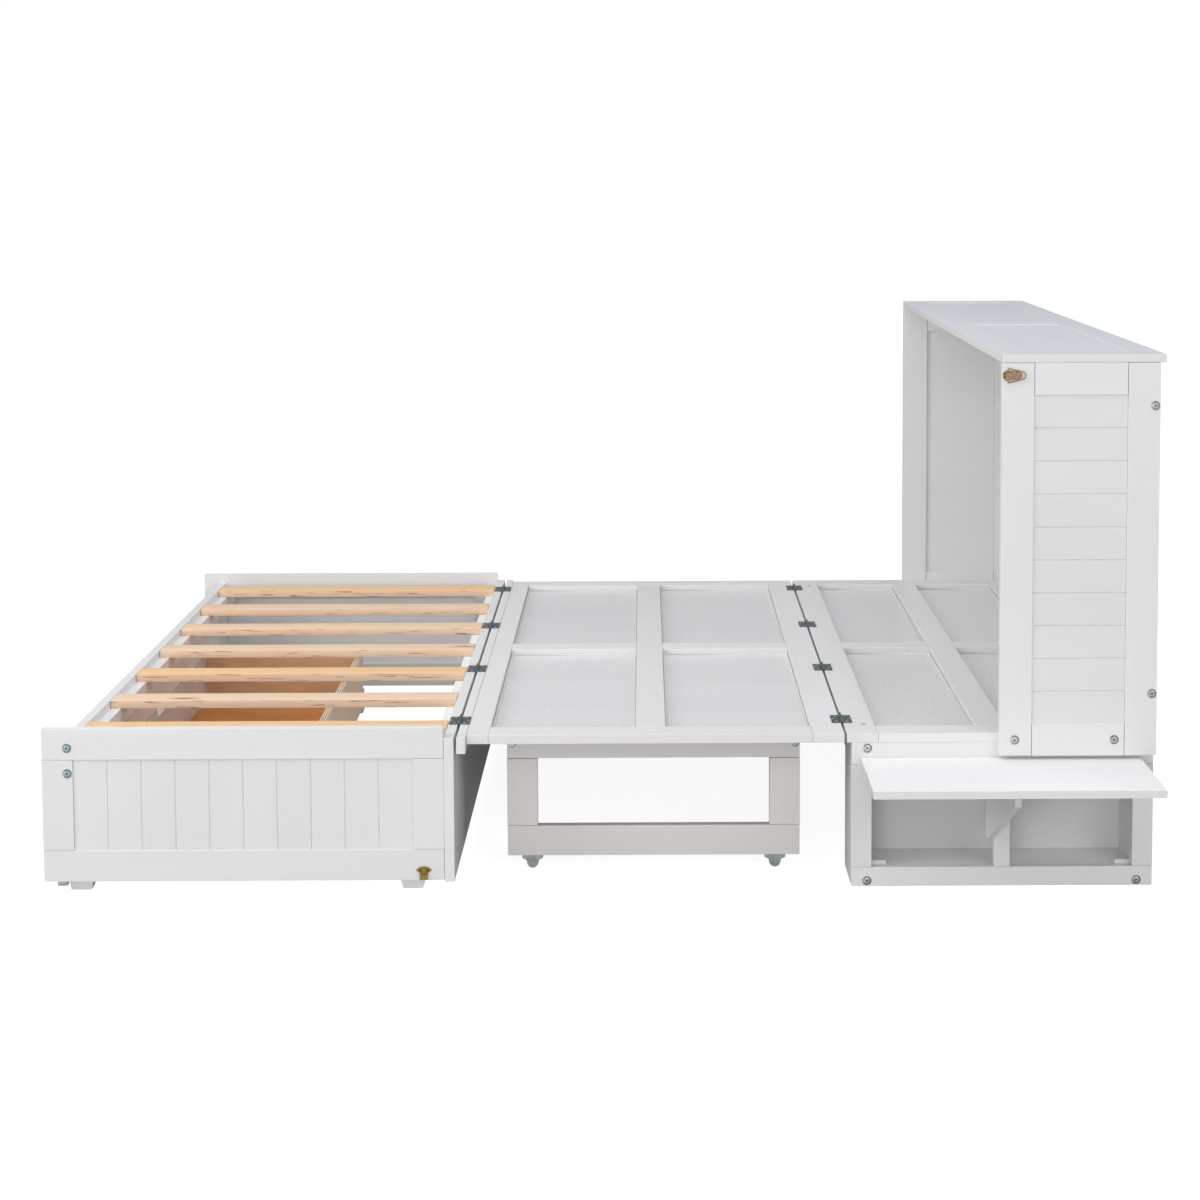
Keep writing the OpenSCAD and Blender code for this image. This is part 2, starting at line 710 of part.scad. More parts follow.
/* Shell */
module shell_side(s) {
  color(paint) at_bed() along(s, y_slab, y_side) difference() {
    rect(x_shell, x_base_back, shell_low, shell_high);
    rect(x_shell + shell_member, x_base_back - shell_member, shell_low + shell_member,
      shell_high - shell_member);
  }
}
module shell_side_near() shell_side(near);
module shell_side_far() shell_side(far);

module shell_side_planks() {
  tall = shell_high - shell_low - 2 * shell_member;
  color(panel_paint) at_bed() both_sides()
    translate([x_shell + shell_member, y_side - plank_recess - plank_t, shell_high - shell_member])
      rotate([0, 90, 0]) linear_extrude(shell_depth - 2 * shell_member)
        plank_section(tall, plank_t, shell_planks);
}

module shell_back() {
  tall = shell_high - z_slab;
  color(paint) at_bed() difference() {
    block(x_shell_back, x_base_back, -y_slab, y_slab, z_slab, shell_high);
    for (s = [near, far], x = [x_shell_back - 1, x_base_back - 5])
      side_block(s, x, x + 6, shell_member / 2, y_slab - shell_member,
        z_slab + slab_t + shell_member, shell_high - shell_member);
  }
}

module shell_top() {
  color(paint) at_bed() difference() {
    block(x_shell, x_top_back, -y_side, y_side, shell_high, shell_high + top_t);
    for (s = [near, far])
      side_block(s, x_shell + shell_member, x_top_back - shell_member + 4, shell_member / 2,
        y_side - shell_member, shell_high + top_t - top_recess, shell_high + top_t + 1);
  }
}

module head_bolts() {
  x_back = x_base_back - side_t / 2;
  color(zinc) at_bed() for (s = [near, far]) {
    for (z = [shell_high - shell_bolt_down, shell_low + shell_bolt_up]) side_bolt(s, x_back, y_side, z);
    for (x = [x_shell + shell_bolt_front, x_base_back - shell_bolt_rear])
      side_bolt(s, x, y_side, z_slab + 8.5);
    for (b = base_bolts) side_bolt(s, b[0], y_slab - bolt_h - 0.2, b[1]);
  }
}

module head_fold_leaves() {
  color(dark_zinc) at_bed() for (y = hinge_rows) translate([0, y, z_pin])
    hinge_half(1, fold_hinge_len, true);
}

/* Shelf flaps and swing brackets */
flap_hinge_in = 26;
flap_hinges = [max(flap_start, base_post) + flap_hinge_in,
  min(flap_start + flap_len, base_len - base_post) - flap_hinge_in];

// the flap turned up level, drawn on the far side with its pin on the X axis
module flap_level() {
  color(paint) translate([base_start + flap_start, touch, pin_h]) cube([flap_len, flap_w - touch, flap_t]);
  color(zinc) for (x = flap_hinges) translate([base_start + x, 0, 0]) rotate([0, 0, 90]) rotate([180, 0, 0])
    hinge_half(1, small_hinge_len, false, small_leaf_w);
}

module flap_near() at_bed() translate([0, -y_slab, z_flap_pin]) scale([1, -1, 1]) flap_level();
module flap_far() at_bed() translate([0, y_slab, z_flap_pin]) rotate([-90, 0, 0]) flap_level();

// the bracket drawn square to the base on the far side, with its pin on the Z axis
bracket_off = 1.3;
bracket_hinges = [-23, small_hinge_len / 2 + 7 - bracket_root];
module bracket_square() {
  root = 3.5;
  color(paint) translate([-bracket_off - bracket_t, 0, 0]) rotate([90, 0, 90]) linear_extrude(bracket_t)
    polygon([[root, 0], [root, -bracket_root], [root + 10, -bracket_root], [bracket_len, -bracket_nose],
      [bracket_len, 0]]);
  color(zinc) for (z = bracket_hinges) translate([0, 0, z]) rotate([90, 0, 90])
    hinge_half(1, small_hinge_len, false, small_leaf_w, bracket_off);
}

x_bracket_pin = x_mid_post - pin_h;
y_bracket_pin = y_slab - 2;
z_bracket = z_flap - touch;
module bracket_near()
  at_bed() translate([x_bracket_pin, -y_bracket_pin, z_bracket]) scale([1, -1, 1])
    rotate(-bracket_over) bracket_square();
module bracket_far()
  at_bed() translate([x_bracket_pin, y_bracket_pin, z_bracket]) rotate(90) bracket_square();

module shelf_hinge_leaves() {
  color(zinc) at_bed() both_sides() {
    for (x = flap_hinges) translate([base_start + x, y_slab, z_flap_pin]) rotate([0, 0, 90])
      rotate([180, 0, 0]) hinge_half(-1, small_hinge_len, true, small_leaf_w);
    for (z = bracket_hinges) translate([x_bracket_pin, y_bracket_pin, z_bracket + z]) rotate([90, 0, -90])
      hinge_half(1, small_hinge_len, true, 14);
  }
}

/* Latch: drawn on the far side with the shell's front edge at X = 0 and its face at Y = 0 */
ear_t = 1;
ear_in = lever_half + 0.3;
module latch_plate() {
  base_t = 1.2;
  half = lever_half + 0.6;
  difference() {
    rotate([-90, 0, 0]) linear_extrude(base_t) union() {
      translate([half + 0.3, 0]) circle(r = half);
      rect(half + 0.3, 26, -half, half);
    }
    for (x = [2.2, 4.6], d = [-1, 1]) translate([x, -1, d * 3.6]) rotate([-90, 0, 0])
      cylinder(d = 1.8, h = 4);
  }
  for (d = [-1, 1]) translate([0, 0, d * (ear_in + ear_t / 2)]) linear_extrude(ear_t, center = true)
    difference() {
    union() {
      translate(lever_pivot) circle(r = 2);
      polygon([[4.2, 0.6], [8.2, 0.6], [8.2, lever_pivot[1]], [4.2, lever_pivot[1]]]);
    }
    translate(lever_pivot) circle(r = 1 + pin_play);
  }
}

module latch_lever() {
  web = 1;
  body_end = lever_pivot[0] + lever_len - 5.4;
  tip = lever_pivot[0] + lever_len;
  difference() {
    union() {
      for (d = [-1, 1]) translate([0, 0, d * (lever_half - 0.6)]) linear_extrude(1.2, center = true) {
        translate(lever_pivot) circle(r = 1.7);
        polygon([[lever_pivot[0], lever_pivot[1] - 1.2], [body_end, lever_pivot[1] - 1.2],
          [body_end, latch_proud], [lever_pivot[0], latch_proud]]);
      }
      translate([0, latch_proud - web, 0]) rotate([-90, 0, 0]) linear_extrude(web) union() {
        rect(lever_pivot[0], body_end, -lever_half, lever_half);
        rect(body_end - eps, tip - 2, -lever_half + 1.9, lever_half - 1.9);
        rect(tip - 2 - eps, tip, -lever_half + 3, lever_half - 3);
      }
    }
    translate([bail_pivot[0], bail_pivot[1], 0]) cylinder(r = bail_r + pin_play, h = 40, center = true);
  }
  translate([lever_pivot[0], lever_pivot[1], 0])
    cylinder(r = 1, h = 2 * (ear_in + ear_t + 0.4), center = true);
}

// the wire bail: wide at its pivot and drawn in to the round end
module latch_bail() {
  wide = 12.6;
  bend = 7;
  run = bail_len - bend;
  inner = lever_half - 0.9;
  slope = atan((wide - bend) / run);
  translate([bail_pivot[0], bail_pivot[1], 0]) {
    for (d = [-1, 1]) {
      translate([0, 0, d > 0 ? inner : -wide]) cylinder(r = bail_r, h = wide - inner, $fn = 24);
      translate([0, 0, d * wide]) sphere(r = bail_r, $fn = 24);
      translate([0, 0, d * wide]) rotate([0, 90 + d * slope, 0])
        cylinder(r = bail_r, h = run / cos(slope), $fn = 24);
      translate([run, 0, d * bend]) sphere(r = bail_r, $fn = 24);
    }
    translate([run, 0, 0]) rotate([90, 0, 0]) rotate([0, 0, -90]) rotate_extrude(angle = 180, $fn = 48)
      translate([bend, 0]) circle(r = bail_r, $fn = 24);
  }
}

module on_shell(s)
  color(yellow_zinc) at_bed() translate([x_shell, s * y_side, z_latch]) scale([1, s, 1]) children();
module latch_plates() for (s = [near, far]) on_shell(s) latch_plate();
module latch_lever_near() on_shell(near) latch_lever();
module latch_lever_far() on_shell(far) latch_lever();
module latch_bail_near() on_shell(near) latch_bail();
module latch_bail_far() on_shell(far) latch_bail();

base_side_frame_near();
base_side_frame_far();
base_end_boards();
shelf_backs();
shelf_floors();
corner_blocks();
base_cross_rails();
head_slab_frame();
head_slab_panels();
shell_side_near();
shell_side_far();
shell_side_planks();
shell_back();
shell_top();
head_bolts();
head_fold_leaves();
shelf_hinge_leaves();
latch_plates();
flap_near();
bracket_far();
mid_slab_frame();
mid_slab_panels();
hinge_rail();
leg_carrier();
mid_bolts();
mid_fold_leaves();
leg_hinge_top_leaves();
leg_frame_near();
leg_frame_far();
caster_forks_near();
caster_forks_far();
caster_wheel_near_foot();
caster_wheel_near_head();
caster_wheel_far_foot();
caster_wheel_far_head();
leg_hinge_leaves_near();
leg_hinge_leaves_far();
foot_side_near();
foot_side_far();
foot_side_planks();
foot_hinge_board();
foot_end_frame();
slat_ledgers();
slats();
block_feet();
bumper_glides();
foot_bolts();
foot_fold_leaves();
catches();
drawer_runners();
drawer_front();
drawer_box();
drawer_bottom();
flap_far();
bracket_near();
latch_lever_near();
latch_lever_far();
latch_bail_near();
latch_bail_far();
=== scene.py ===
import math
import random

import bmesh
import bpy
from bpy.props import FloatProperty, FloatVectorProperty, IntProperty, PointerProperty
from mathutils import Matrix, Vector


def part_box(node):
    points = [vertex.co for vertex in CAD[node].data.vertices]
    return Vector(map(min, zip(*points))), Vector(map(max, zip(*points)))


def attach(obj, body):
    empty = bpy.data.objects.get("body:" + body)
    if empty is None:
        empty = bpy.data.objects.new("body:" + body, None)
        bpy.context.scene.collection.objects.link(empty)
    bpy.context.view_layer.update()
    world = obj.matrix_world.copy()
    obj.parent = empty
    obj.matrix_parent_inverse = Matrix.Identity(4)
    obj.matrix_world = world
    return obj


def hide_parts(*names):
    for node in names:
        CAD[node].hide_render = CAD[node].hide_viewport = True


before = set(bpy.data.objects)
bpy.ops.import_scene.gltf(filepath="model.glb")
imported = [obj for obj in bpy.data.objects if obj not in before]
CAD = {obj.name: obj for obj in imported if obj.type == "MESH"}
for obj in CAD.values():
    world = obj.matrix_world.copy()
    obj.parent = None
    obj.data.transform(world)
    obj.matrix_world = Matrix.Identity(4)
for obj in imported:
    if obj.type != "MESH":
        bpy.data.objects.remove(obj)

bl_info = {
    "name": "Folding Cabinet Bed",
    "version": (1, 0, 0),
    "blender": (4, 5, 0),
    "location": "3D View > Sidebar > Cabinet Bed",
    "description": "Dresses an unfolded cabinet bed: boards, slats, hinges, latches and casters",
    "category": "Object",
}

MM = 0.001


# Settings

def tint(name, description, default):
    """A colour that the panel offers."""
    return FloatVectorProperty(name=name, description=description, default=default,
                               subtype="COLOR", size=3, min=0, max=1)


def power(name, description, default):
    """The power of one soft light."""
    return FloatProperty(name=name, description=description, default=default, min=0, max=2000)


class BedPaint(bpy.types.PropertyGroup):
    """Paint of the boards"""
    white: tint("White paint", "Colour of the painted boards", (0.71, 0.705, 0.71))
    panel: tint("Panel paint", "Colour of the recessed panels", (0.675, 0.675, 0.68))
    # Painted light: a paint lighter than the white, for faces that stand brighter in the light.
    # These are the flaps' outer faces, the shelf floors, the slat ledgers and the foot box's inner
    # faces. The block feet take it too.
    flap: tint("Flap paint", "Fresher coat: flaps, shelf floors, feet, inside of the foot box",
               (0.84, 0.84, 0.85))
    # Painted shade: a darker, bluer paint for the faces of the shell's top board that look up,
    # while its sides stay white. It stands in for the dimmer, cooler light on that top.
    lid: tint("Lid", "Colour of the paint on the shell's top board", (0.64, 0.663, 0.695))
    # Painted shade: a warmer, slightly darker white for the leg frames and their carrier under the
    # deck. It stands in for the warm shade there.
    under: tint("Leg paint", "Colour of the leg frames and their carrier", (0.70, 0.67, 0.66))
    sheen: FloatProperty(
        name="Roughness", description="Roughness of the satin paint", default=0.42, min=0.1, max=1)
    grain: FloatProperty(
        name="Grain depth", description="Depth of the grain that shows through the paint",
        default=0.00008, min=0, max=0.001, unit="LENGTH")
    ease: FloatProperty(
        name="Edge easing", description="Rounding of the boards' edges",
        default=0.0009, min=0.0002, max=0.003, unit="LENGTH")


class BedTimber(bpy.types.PropertyGroup):
    """Bare wood of the slats and the drawer"""
    pine: tint("Pine", "Light colour of the slats", (0.73, 0.545, 0.385))
    pine_dark: tint("Pine rings", "Colour of the slats' growth rings", (0.52, 0.28, 0.13))
    knot: tint("Knots", "Colour of the knots", (0.16, 0.06, 0.02))
    ply: tint("Plywood", "Face colour of the drawer's plywood", (0.80, 0.54, 0.33))
    ply_dark: tint("Plywood layers", "Dark layers on the plywood edges", (0.32, 0.19, 0.11))
    hardboard: tint("Hardboard", "Colour of the drawer bottom", (0.68, 0.27, 0.085))
    slats: IntProperty(name="Slats", description="Number of slats", default=7, min=1, max=12)


class BedMetal(bpy.types.PropertyGroup):
    """Plated steel and brass of the fittings"""
    blue: tint("Hinge zinc", "Dark zinc of the fold hinges", (0.11, 0.155, 0.165))
    bright: tint("Bolt zinc", "Bright zinc of bolts and shelf hinges", (0.60, 0.62, 0.58))
    # The washers' darker zinc is partly their own and partly painted shade: it covers the sunk ring
    # round each bolt head, where the groove lies in shade.
    washer: tint("Washer zinc", "Darker zinc of the bolts' washers", (0.27, 0.265, 0.215))
    yellow: tint("Latch zinc", "Yellow passivated zinc of latches and catches",
                 (0.33, 0.23, 0.06))
    rosy: tint("Lever zinc", "Rosy passivated zinc of the latch levers", (0.46, 0.27, 0.19))
    # Very dark zinc for these screws. In the latch plates, the dark heads also stand in for the
    # shade of the holes they sit in, as painted shade.
    dark: tint("Dark zinc", "Dark zinc in the screws of latches and catches", (0.09, 0.06, 0.03))
    brass: tint("Screw brass", "Colour of the hinge screws", (0.46, 0.36, 0.26))
    screw: FloatProperty(
        name="Screw head", description="Radius of a hinge screw's head",
        default=0.0030, min=0.001, max=0.006, unit="LENGTH")


class BedStage(bpy.types.PropertyGroup):
    """Floor, surround and soft lights"""
    floor: tint("Floor", "Colour of the studio floor", (0.42, 0.42, 0.42))
    glow: FloatProperty(
        name="Floor glow", description="Brightness of the light table under the bed, as it is seen",
        default=0.90, min=0, max=2)
    spill: FloatProperty(
        name="Floor spill", description="Light that the light table throws up on to the bed",
        default=0.05, min=0, max=2)
    key: power("Key light", "Power of the large key light", 32)
    fill: power("Fill light", "Power of the fill light", 32)
    top: power("Top light", "Power of the overhead light", 77)
    low: power("Low light", "Power of the low light that reaches under the flap", 44)
    side: power("Side light", "Power of the light that reaches into the shell", 55)
    sky: FloatProperty(
        name="Surround", description="Light from the even surround", default=0.41, min=0, max=3)


# Materials

PLY_LAYERS = 0.0048     # one dark and one light layer of the plywood
GRAIN = {"x": (2.0, 46.0, 46.0), "y": (46.0, 2.0, 46.0), "z": (46.0, 46.0, 2.0)}

# Each metal setting's material: name, roughness, then zinc's other values where they differ
PLATINGS = {
    "blue": ("blue hinge zinc", 0.36),
    "bright": ("bright bolt zinc", 0.30),
    "washer": ("dark washer zinc", 0.42),
    "yellow": ("yellow latch zinc", 0.36, (0.42, 0.285, 0.10)),
    "rosy": ("rosy latch zinc", 0.38, (0.46, 0.31, 0.19), 240.0, 0.42),
    "dark": ("dark latch zinc", 0.45),
    "brass": ("brass screws", 0.30),
}


def tree_of(name):
    """The material of that name, with its node tree if it has just been made."""
    mat = bpy.data.materials.get(name)
    if mat:
        return mat, None
    mat = bpy.data.materials.new(name)
    mat.use_nodes = True
    return mat, mat.node_tree


def scaled(colour, factor):
    """A colour made darker or lighter, each part at most 1."""
    return tuple(min(1.0, c * factor) for c in colour)


class Nodes:
    """A short way to add and link nodes."""

    def __init__(self, tree):
        self.tree = tree

    def node(self, kind, inputs=None, **values):
        n = self.tree.nodes.new(kind)
        for key, value in values.items():
            setattr(n, key, value)
        for key, value in (inputs or {}).items():
            self.put(n.inputs[key], value)
        return n

    def put(self, socket, value):
        """Links a socket to the input, or sets the input's value."""
        if isinstance(value, bpy.types.NodeSocket):
            self.tree.links.new(value, socket)
        else:
            socket.default_value = value

    def math(self, operation, a, b=0.0, c=0.0):
        return self.node("ShaderNodeMath", operation=operation,
                         inputs={0: a, 1: b, 2: c}).outputs[0]

    def times(self, a, b):
        return self.math("MULTIPLY", a, b)


class Shade(Nodes):
    """The nodes of one material."""

    def __init__(self, tree):
        super().__init__(tree)
        self.out = tree.nodes["Principled BSDF"]

    def number(self, name):
        """A number that is stored on the faces or the boards."""
        return self.node("ShaderNodeAttribute", attribute_name=name).outputs["Fac"]

    def coordinates(self, kind="Object"):
        return self.node("ShaderNodeTexCoord").outputs[kind]

    def parts(self, vector):
        """The X, Y and Z of a vector."""
        return self.node("ShaderNodeSeparateXYZ", inputs={0: vector}).outputs

    def where(self, scale=(1, 1, 1)):
        """Object coordinates, moved on by each board's own number, stretched by scale."""
        step = self.node("ShaderNodeVectorMath", operation="SCALE", inputs={
            0: (3.7, 5.3, 7.9), "Scale": self.number("board")}).outputs[0]
        moved = self.node("ShaderNodeVectorMath", operation="ADD", inputs={
            0: self.coordinates(), 1: step}).outputs[0]
        return self.node("ShaderNodeMapping", inputs={"Vector": moved, "Scale": scale}).outputs[0]

    def noise(self, vector, scale, detail=3, rough=0.5, distortion=0.0):
        return self.node("ShaderNodeTexNoise", inputs={
            "Vector": vector, "Scale": scale, "Detail": detail, "Roughness": rough,
            "Distortion": distortion}).outputs["Fac"]

    def ramp(self, fac, stops):
        n = self.node("ShaderNodeValToRGB", inputs={"Fac": fac})
        points = n.color_ramp.elements
        while len(points) < len(stops):
            points.new(0.5)
        for point, (place, colour) in zip(points, stops):
            point.position = place
            point.color = (*colour, 1)
        return n.outputs["Color"]

    def grade(self, fac, *stops):
        """A grey ramp through stops of (place, level)."""
        return self.ramp(fac, [(place, (level,) * 3) for place, level in stops])

    def mix(self, fac, a, b, blend="MIX"):
        n = self.node("ShaderNodeMix", data_type="RGBA", blend_type=blend)
        self.put(n.inputs[0], fac)
        for socket, value in ((n.inputs[6], a), (n.inputs[7], b)):
            self.put(socket, (*value, 1) if isinstance(value, tuple) else value)
        return n.outputs[2]

    def bump(self, height, distance, strength=1.0, under=None):
        inputs = {"Height": height, "Distance": distance, "Strength": strength}
        if under is not None:
            inputs["Normal"] = under
        return self.node("ShaderNodeBump", inputs=inputs).outputs[0]

    def finish(self, colour, rough, normal):
        """Sets or links what every material here has."""
        for key, value in (("Base Color", colour), ("Roughness", rough), ("Normal", normal)):
            self.put(self.out.inputs[key], value)


def paint(axis, kind="white"):
    """Satin paint over boards whose grain runs along the axis."""
    mat, tree = tree_of(f"{kind} paint along {axis}")
    if not tree:
        return mat
    setting = bpy.context.scene.bed_paint
    colour = tuple(getattr(setting, "white" if kind == "smooth" else kind))
    calm = kind in ("panel", "smooth")
    s = Shade(tree)
    fibre = s.noise(s.where(GRAIN[axis]), 6.0, 4, 0.6, 0.4)
    broad = s.noise(s.where(tuple(v * 0.16 + 1 for v in GRAIN[axis])), 1.1, 2)
    stipple = s.noise(s.where(), 620.0, 2)
    tone = s.math("ADD", s.times(s.number("board"), 0.3), s.times(broad, 0.7))
    base = s.ramp(tone, [(0.25, scaled(colour, 0.955)), (0.75, scaled(colour, 1.03))])
    lines = s.ramp(fibre, [(0.28, (0.983, 0.98, 0.975)), (0.44, (1, 1, 1))])
    gloss = s.math("MULTIPLY_ADD", stipple, 0.04 if calm else 0.10,
                   setting.sheen - (0.17 if kind == "panel" else 0.05))
    first = s.bump(fibre, setting.grain, 0.04 if calm else 0.45)
    s.finish(s.mix(1.0, base, lines, "MULTIPLY"), gloss,
             s.bump(stipple, 0.00003, 0.05 if calm else 0.6, first))
    s.out.inputs["Specular IOR Level"].default_value = 0.42
    return mat


def pine():
    """Planed pine along X: rings, fine fibres, a few knots, redder sawn edges, dark end grain."""
    mat, tree = tree_of("planed pine")
    if not tree:
        return mat
    setting = bpy.context.scene.bed_timber
    light, dark, knot = tuple(setting.pine), tuple(setting.pine_dark), tuple(setting.knot)
    s = Shade(tree)
    own = s.number("board")
    facing = s.parts(s.coordinates("Normal"))
    up = s.grade(facing["Z"], (0.55, 0), (0.85, 1))
    side = s.grade(s.math("ABSOLUTE", facing["Y"]), (0.55, 0), (0.85, 1))
    ends = s.grade(s.math("ABSOLUTE", facing["X"]), (0.55, 0), (0.85, 1))

    warp = s.noise(s.where((0.8, 14.0, 14.0)), 1.6, 2, 0.45)
    late = s.grade(s.math("FRACT", s.times(warp, 9.0)), (0.45, 0), (0.86, 1), (0.97, 0))
    fibre = s.noise(s.where((4.0, 190.0, 190.0)), 3.0, 3, 0.65)
    patch = s.noise(s.where((1.2, 5.0, 5.0)), 2.4, 2)
    warm = s.grade(own, (0.62, 0), (0.82, 0.62))
    body = s.mix(s.times(late, 0.34), light, dark)
    body = s.mix(s.grade(fibre, (0.42, 0), (0.75, 0.55)), body, dark)
    body = s.mix(s.grade(patch, (0.48, 0), (0.74, 0.4)), body, (0.80, 0.50, 0.26))
    body = s.mix(s.times(warm, up), body, (0.82, 0.50, 0.20))
    body = s.mix(s.grade(own, (0.45, 0.44), (0.75, 0.10)), body, (0.82, 0.64, 0.48))

    cell = s.node("ShaderNodeTexVoronoi", feature="F1", inputs={
        "Vector": s.where((4.2, 15.0, 15.0)), "Scale": 1.0, "Randomness": 1.0})
    chance = s.parts(cell.outputs["Color"])["X"]
    chosen = s.math("MULTIPLY_ADD", s.math("GREATER_THAN", chance, 0.5), 1.0, -0.02)
    eye = s.grade(cell.outputs["Distance"], (0.05, 1), (0.09, 0.5), (0.17, 0))
    body = s.mix(s.times(eye, chosen), body, knot)

    body = s.mix(s.times(side, 0.50), body, (0.74, 0.52, 0.38))
    dash = s.noise(s.where((20.0, 60.0, 360.0)), 1.0, 2, 0.4)
    dashes = s.times(side, s.grade(dash, (0.62, 0), (0.68, 0.75)))
    body = s.mix(dashes, body, (0.26, 0.13, 0.07))
    tick = s.noise(s.where((210.0, 34.0, 34.0)), 1.0, 1, 0.3)
    clump = s.grade(s.noise(s.where((9.0, 5.0, 5.0)), 1.0, 1), (0.52, 0), (0.60, 1))
    ticks = s.times(clump, s.grade(tick, (0.62, 0), (0.68, 0.55)))
    body = s.mix(ticks, body, (0.78, 0.42, 0.17))
    body = s.mix(s.times(ends, 0.7), body, (0.30, 0.17, 0.08))
    s.finish(body, s.math("MULTIPLY_ADD", fibre, 0.2, 0.48),
             s.bump(fibre, 0.00015, 0.8, s.bump(late, 0.00012, 0.5)))
    return mat


def plywood():
    """Bare plywood: a mottled face, dark and light layers on the edges that face up, and painted
    light that makes the faces looking along +X lighter.
    """
    mat, tree = tree_of("layered plywood")
    if not tree:
        return mat
    setting = bpy.context.scene.bed_timber
    face, dark = tuple(setting.ply), tuple(setting.ply_dark)
    s = Shade(tree)
    fibre = s.noise(s.where((20.0, 20.0, 160.0)), 2.0, 3, 0.6)
    broad = s.noise(s.where((3.0, 3.0, 12.0)), 1.4, 3, 0.6, 0.8)
    body = s.ramp(broad, [(0.3, scaled(face, 0.82)), (0.7, scaled(face, 1.15))])
    body = s.mix(s.times(fibre, 0.25), body, dark)

    place = s.parts(s.coordinates())
    across = s.math("MULTIPLY_ADD", s.number("layer"),
                    s.math("SUBTRACT", place["Y"], place["X"]), place["X"])
    layer = s.math("SINE", s.times(across, 2 * math.pi / PLY_LAYERS))
    stripe = s.ramp(s.math("MULTIPLY_ADD", layer, 0.5, 0.5),
                    [(0.10, dark), (0.60, (0.84, 0.69, 0.51))])
    facing = s.parts(s.coordinates("Normal"))
    # Painted light: faces that look along +X are made lighter.
    body = s.mix(s.grade(facing["X"], (0.5, 0), (0.8, 0.85)), body, (0.98, 0.79, 0.59))
    body = s.mix(s.grade(facing["Z"], (0.5, 0), (0.8, 1)), body, stripe)
    s.finish(body, 0.62, s.bump(fibre, 0.0002, 0.6))
    return mat


def hardboard():
    """Brown pressed board with flecks."""
    mat, tree = tree_of("brown hardboard")
    if not tree:
        return mat
    colour = tuple(bpy.context.scene.bed_timber.hardboard)
    s = Shade(tree)
    fleck = s.noise(s.where(), 420.0, 3, 0.7)
    cloud = s.noise(s.where(), 9.0, 3, 0.6)
    body = s.ramp(cloud, [(0.3, scaled(colour, 0.86)), (0.7, scaled(colour, 1.16))])
    body = s.mix(s.times(fleck, 0.35), body, (0.20, 0.08, 0.03))
    s.finish(body, 0.5, s.bump(fleck, 0.0001, 0.6))
    return mat


def zinc(name, colour, rough, second=None, cloud_scale=55.0, first=0.75):
    """Plated steel with cloudy passivation and fine rubbing marks."""
    mat, tree = tree_of(name)
    if not tree:
        return mat
    s = Shade(tree)
    cloud = s.noise(s.where(), cloud_scale, 3, 0.6, 0.5)
    marks = s.noise(s.where((900.0, 120.0, 900.0)), 1.0, 2)
    tones = [(0.3, scaled(colour, first)), (0.68, second or scaled(colour, 1.3))]
    s.finish(s.ramp(cloud, tones), s.math("MULTIPLY_ADD", marks, 0.18, rough - 0.06),
             s.bump(marks, 0.00002, 0.5))
    s.out.inputs["Metallic"].default_value = 0.88
    return mat


def plated(key):
    """The plating whose colour is the metal setting of that name."""
    name, *rest = PLATINGS[key]
    return zinc(name, tuple(getattr(bpy.context.scene.bed_metal, key)), *rest)


def moulded(name, colour, rough):
    """Moulded nylon or rubber with a fine texture."""
    mat, tree = tree_of(name)
    if not tree:
        return mat
    s = Shade(tree)
    fine = s.noise(s.where(), 900.0, 2)
    cloud = s.noise(s.where(), 40.0, 2)
    tones = [(0.3, scaled(colour, 0.88)), (0.7, scaled(colour, 1.1))]
    s.finish(s.ramp(cloud, tones), s.math("MULTIPLY_ADD", fine, 0.15, rough - 0.07),
             s.bump(fine, 0.00003, 0.5))
    return mat


# Mesh helpers

FINE_JOINT, OPEN_JOINT, DEEP_JOINT = 0.2 * MM, 0.4 * MM, 0.45 * MM
BOLT_REACH = 0.014      # faces nearer to each other than this belong to one bolt
BOLT_STEP = 0.0006      # faces further back than this are washer or socket
SOCKET_RADIUS = 0.0034


def link(name, data):
    """A new object in the scene."""
    obj = bpy.data.objects.new(name, data)
    bpy.context.scene.collection.objects.link(obj)
    return obj


def mesh_of(name, bm):
    """Turns a bmesh into a mesh and frees it."""
    mesh = bpy.data.meshes.new(name)
    bm.to_mesh(mesh)
    bm.free()
    return mesh


def mesh_from(obj):
    """The mesh that an object's modifiers make of it."""
    bpy.context.view_layer.update()
    graph = bpy.context.evaluated_depsgraph_get()
    return bpy.data.meshes.new_from_object(obj.evaluated_get(graph), depsgraph=graph)


def show(name, mesh, body, materials=(), replaces=()):
    """Links a finished mesh as a piece that rides on a body."""
    obj = link(name, mesh)
    for mat in materials:
        mesh.materials.append(mat)
    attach(obj, body)
    if replaces:
        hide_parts(*replaces)
    return obj


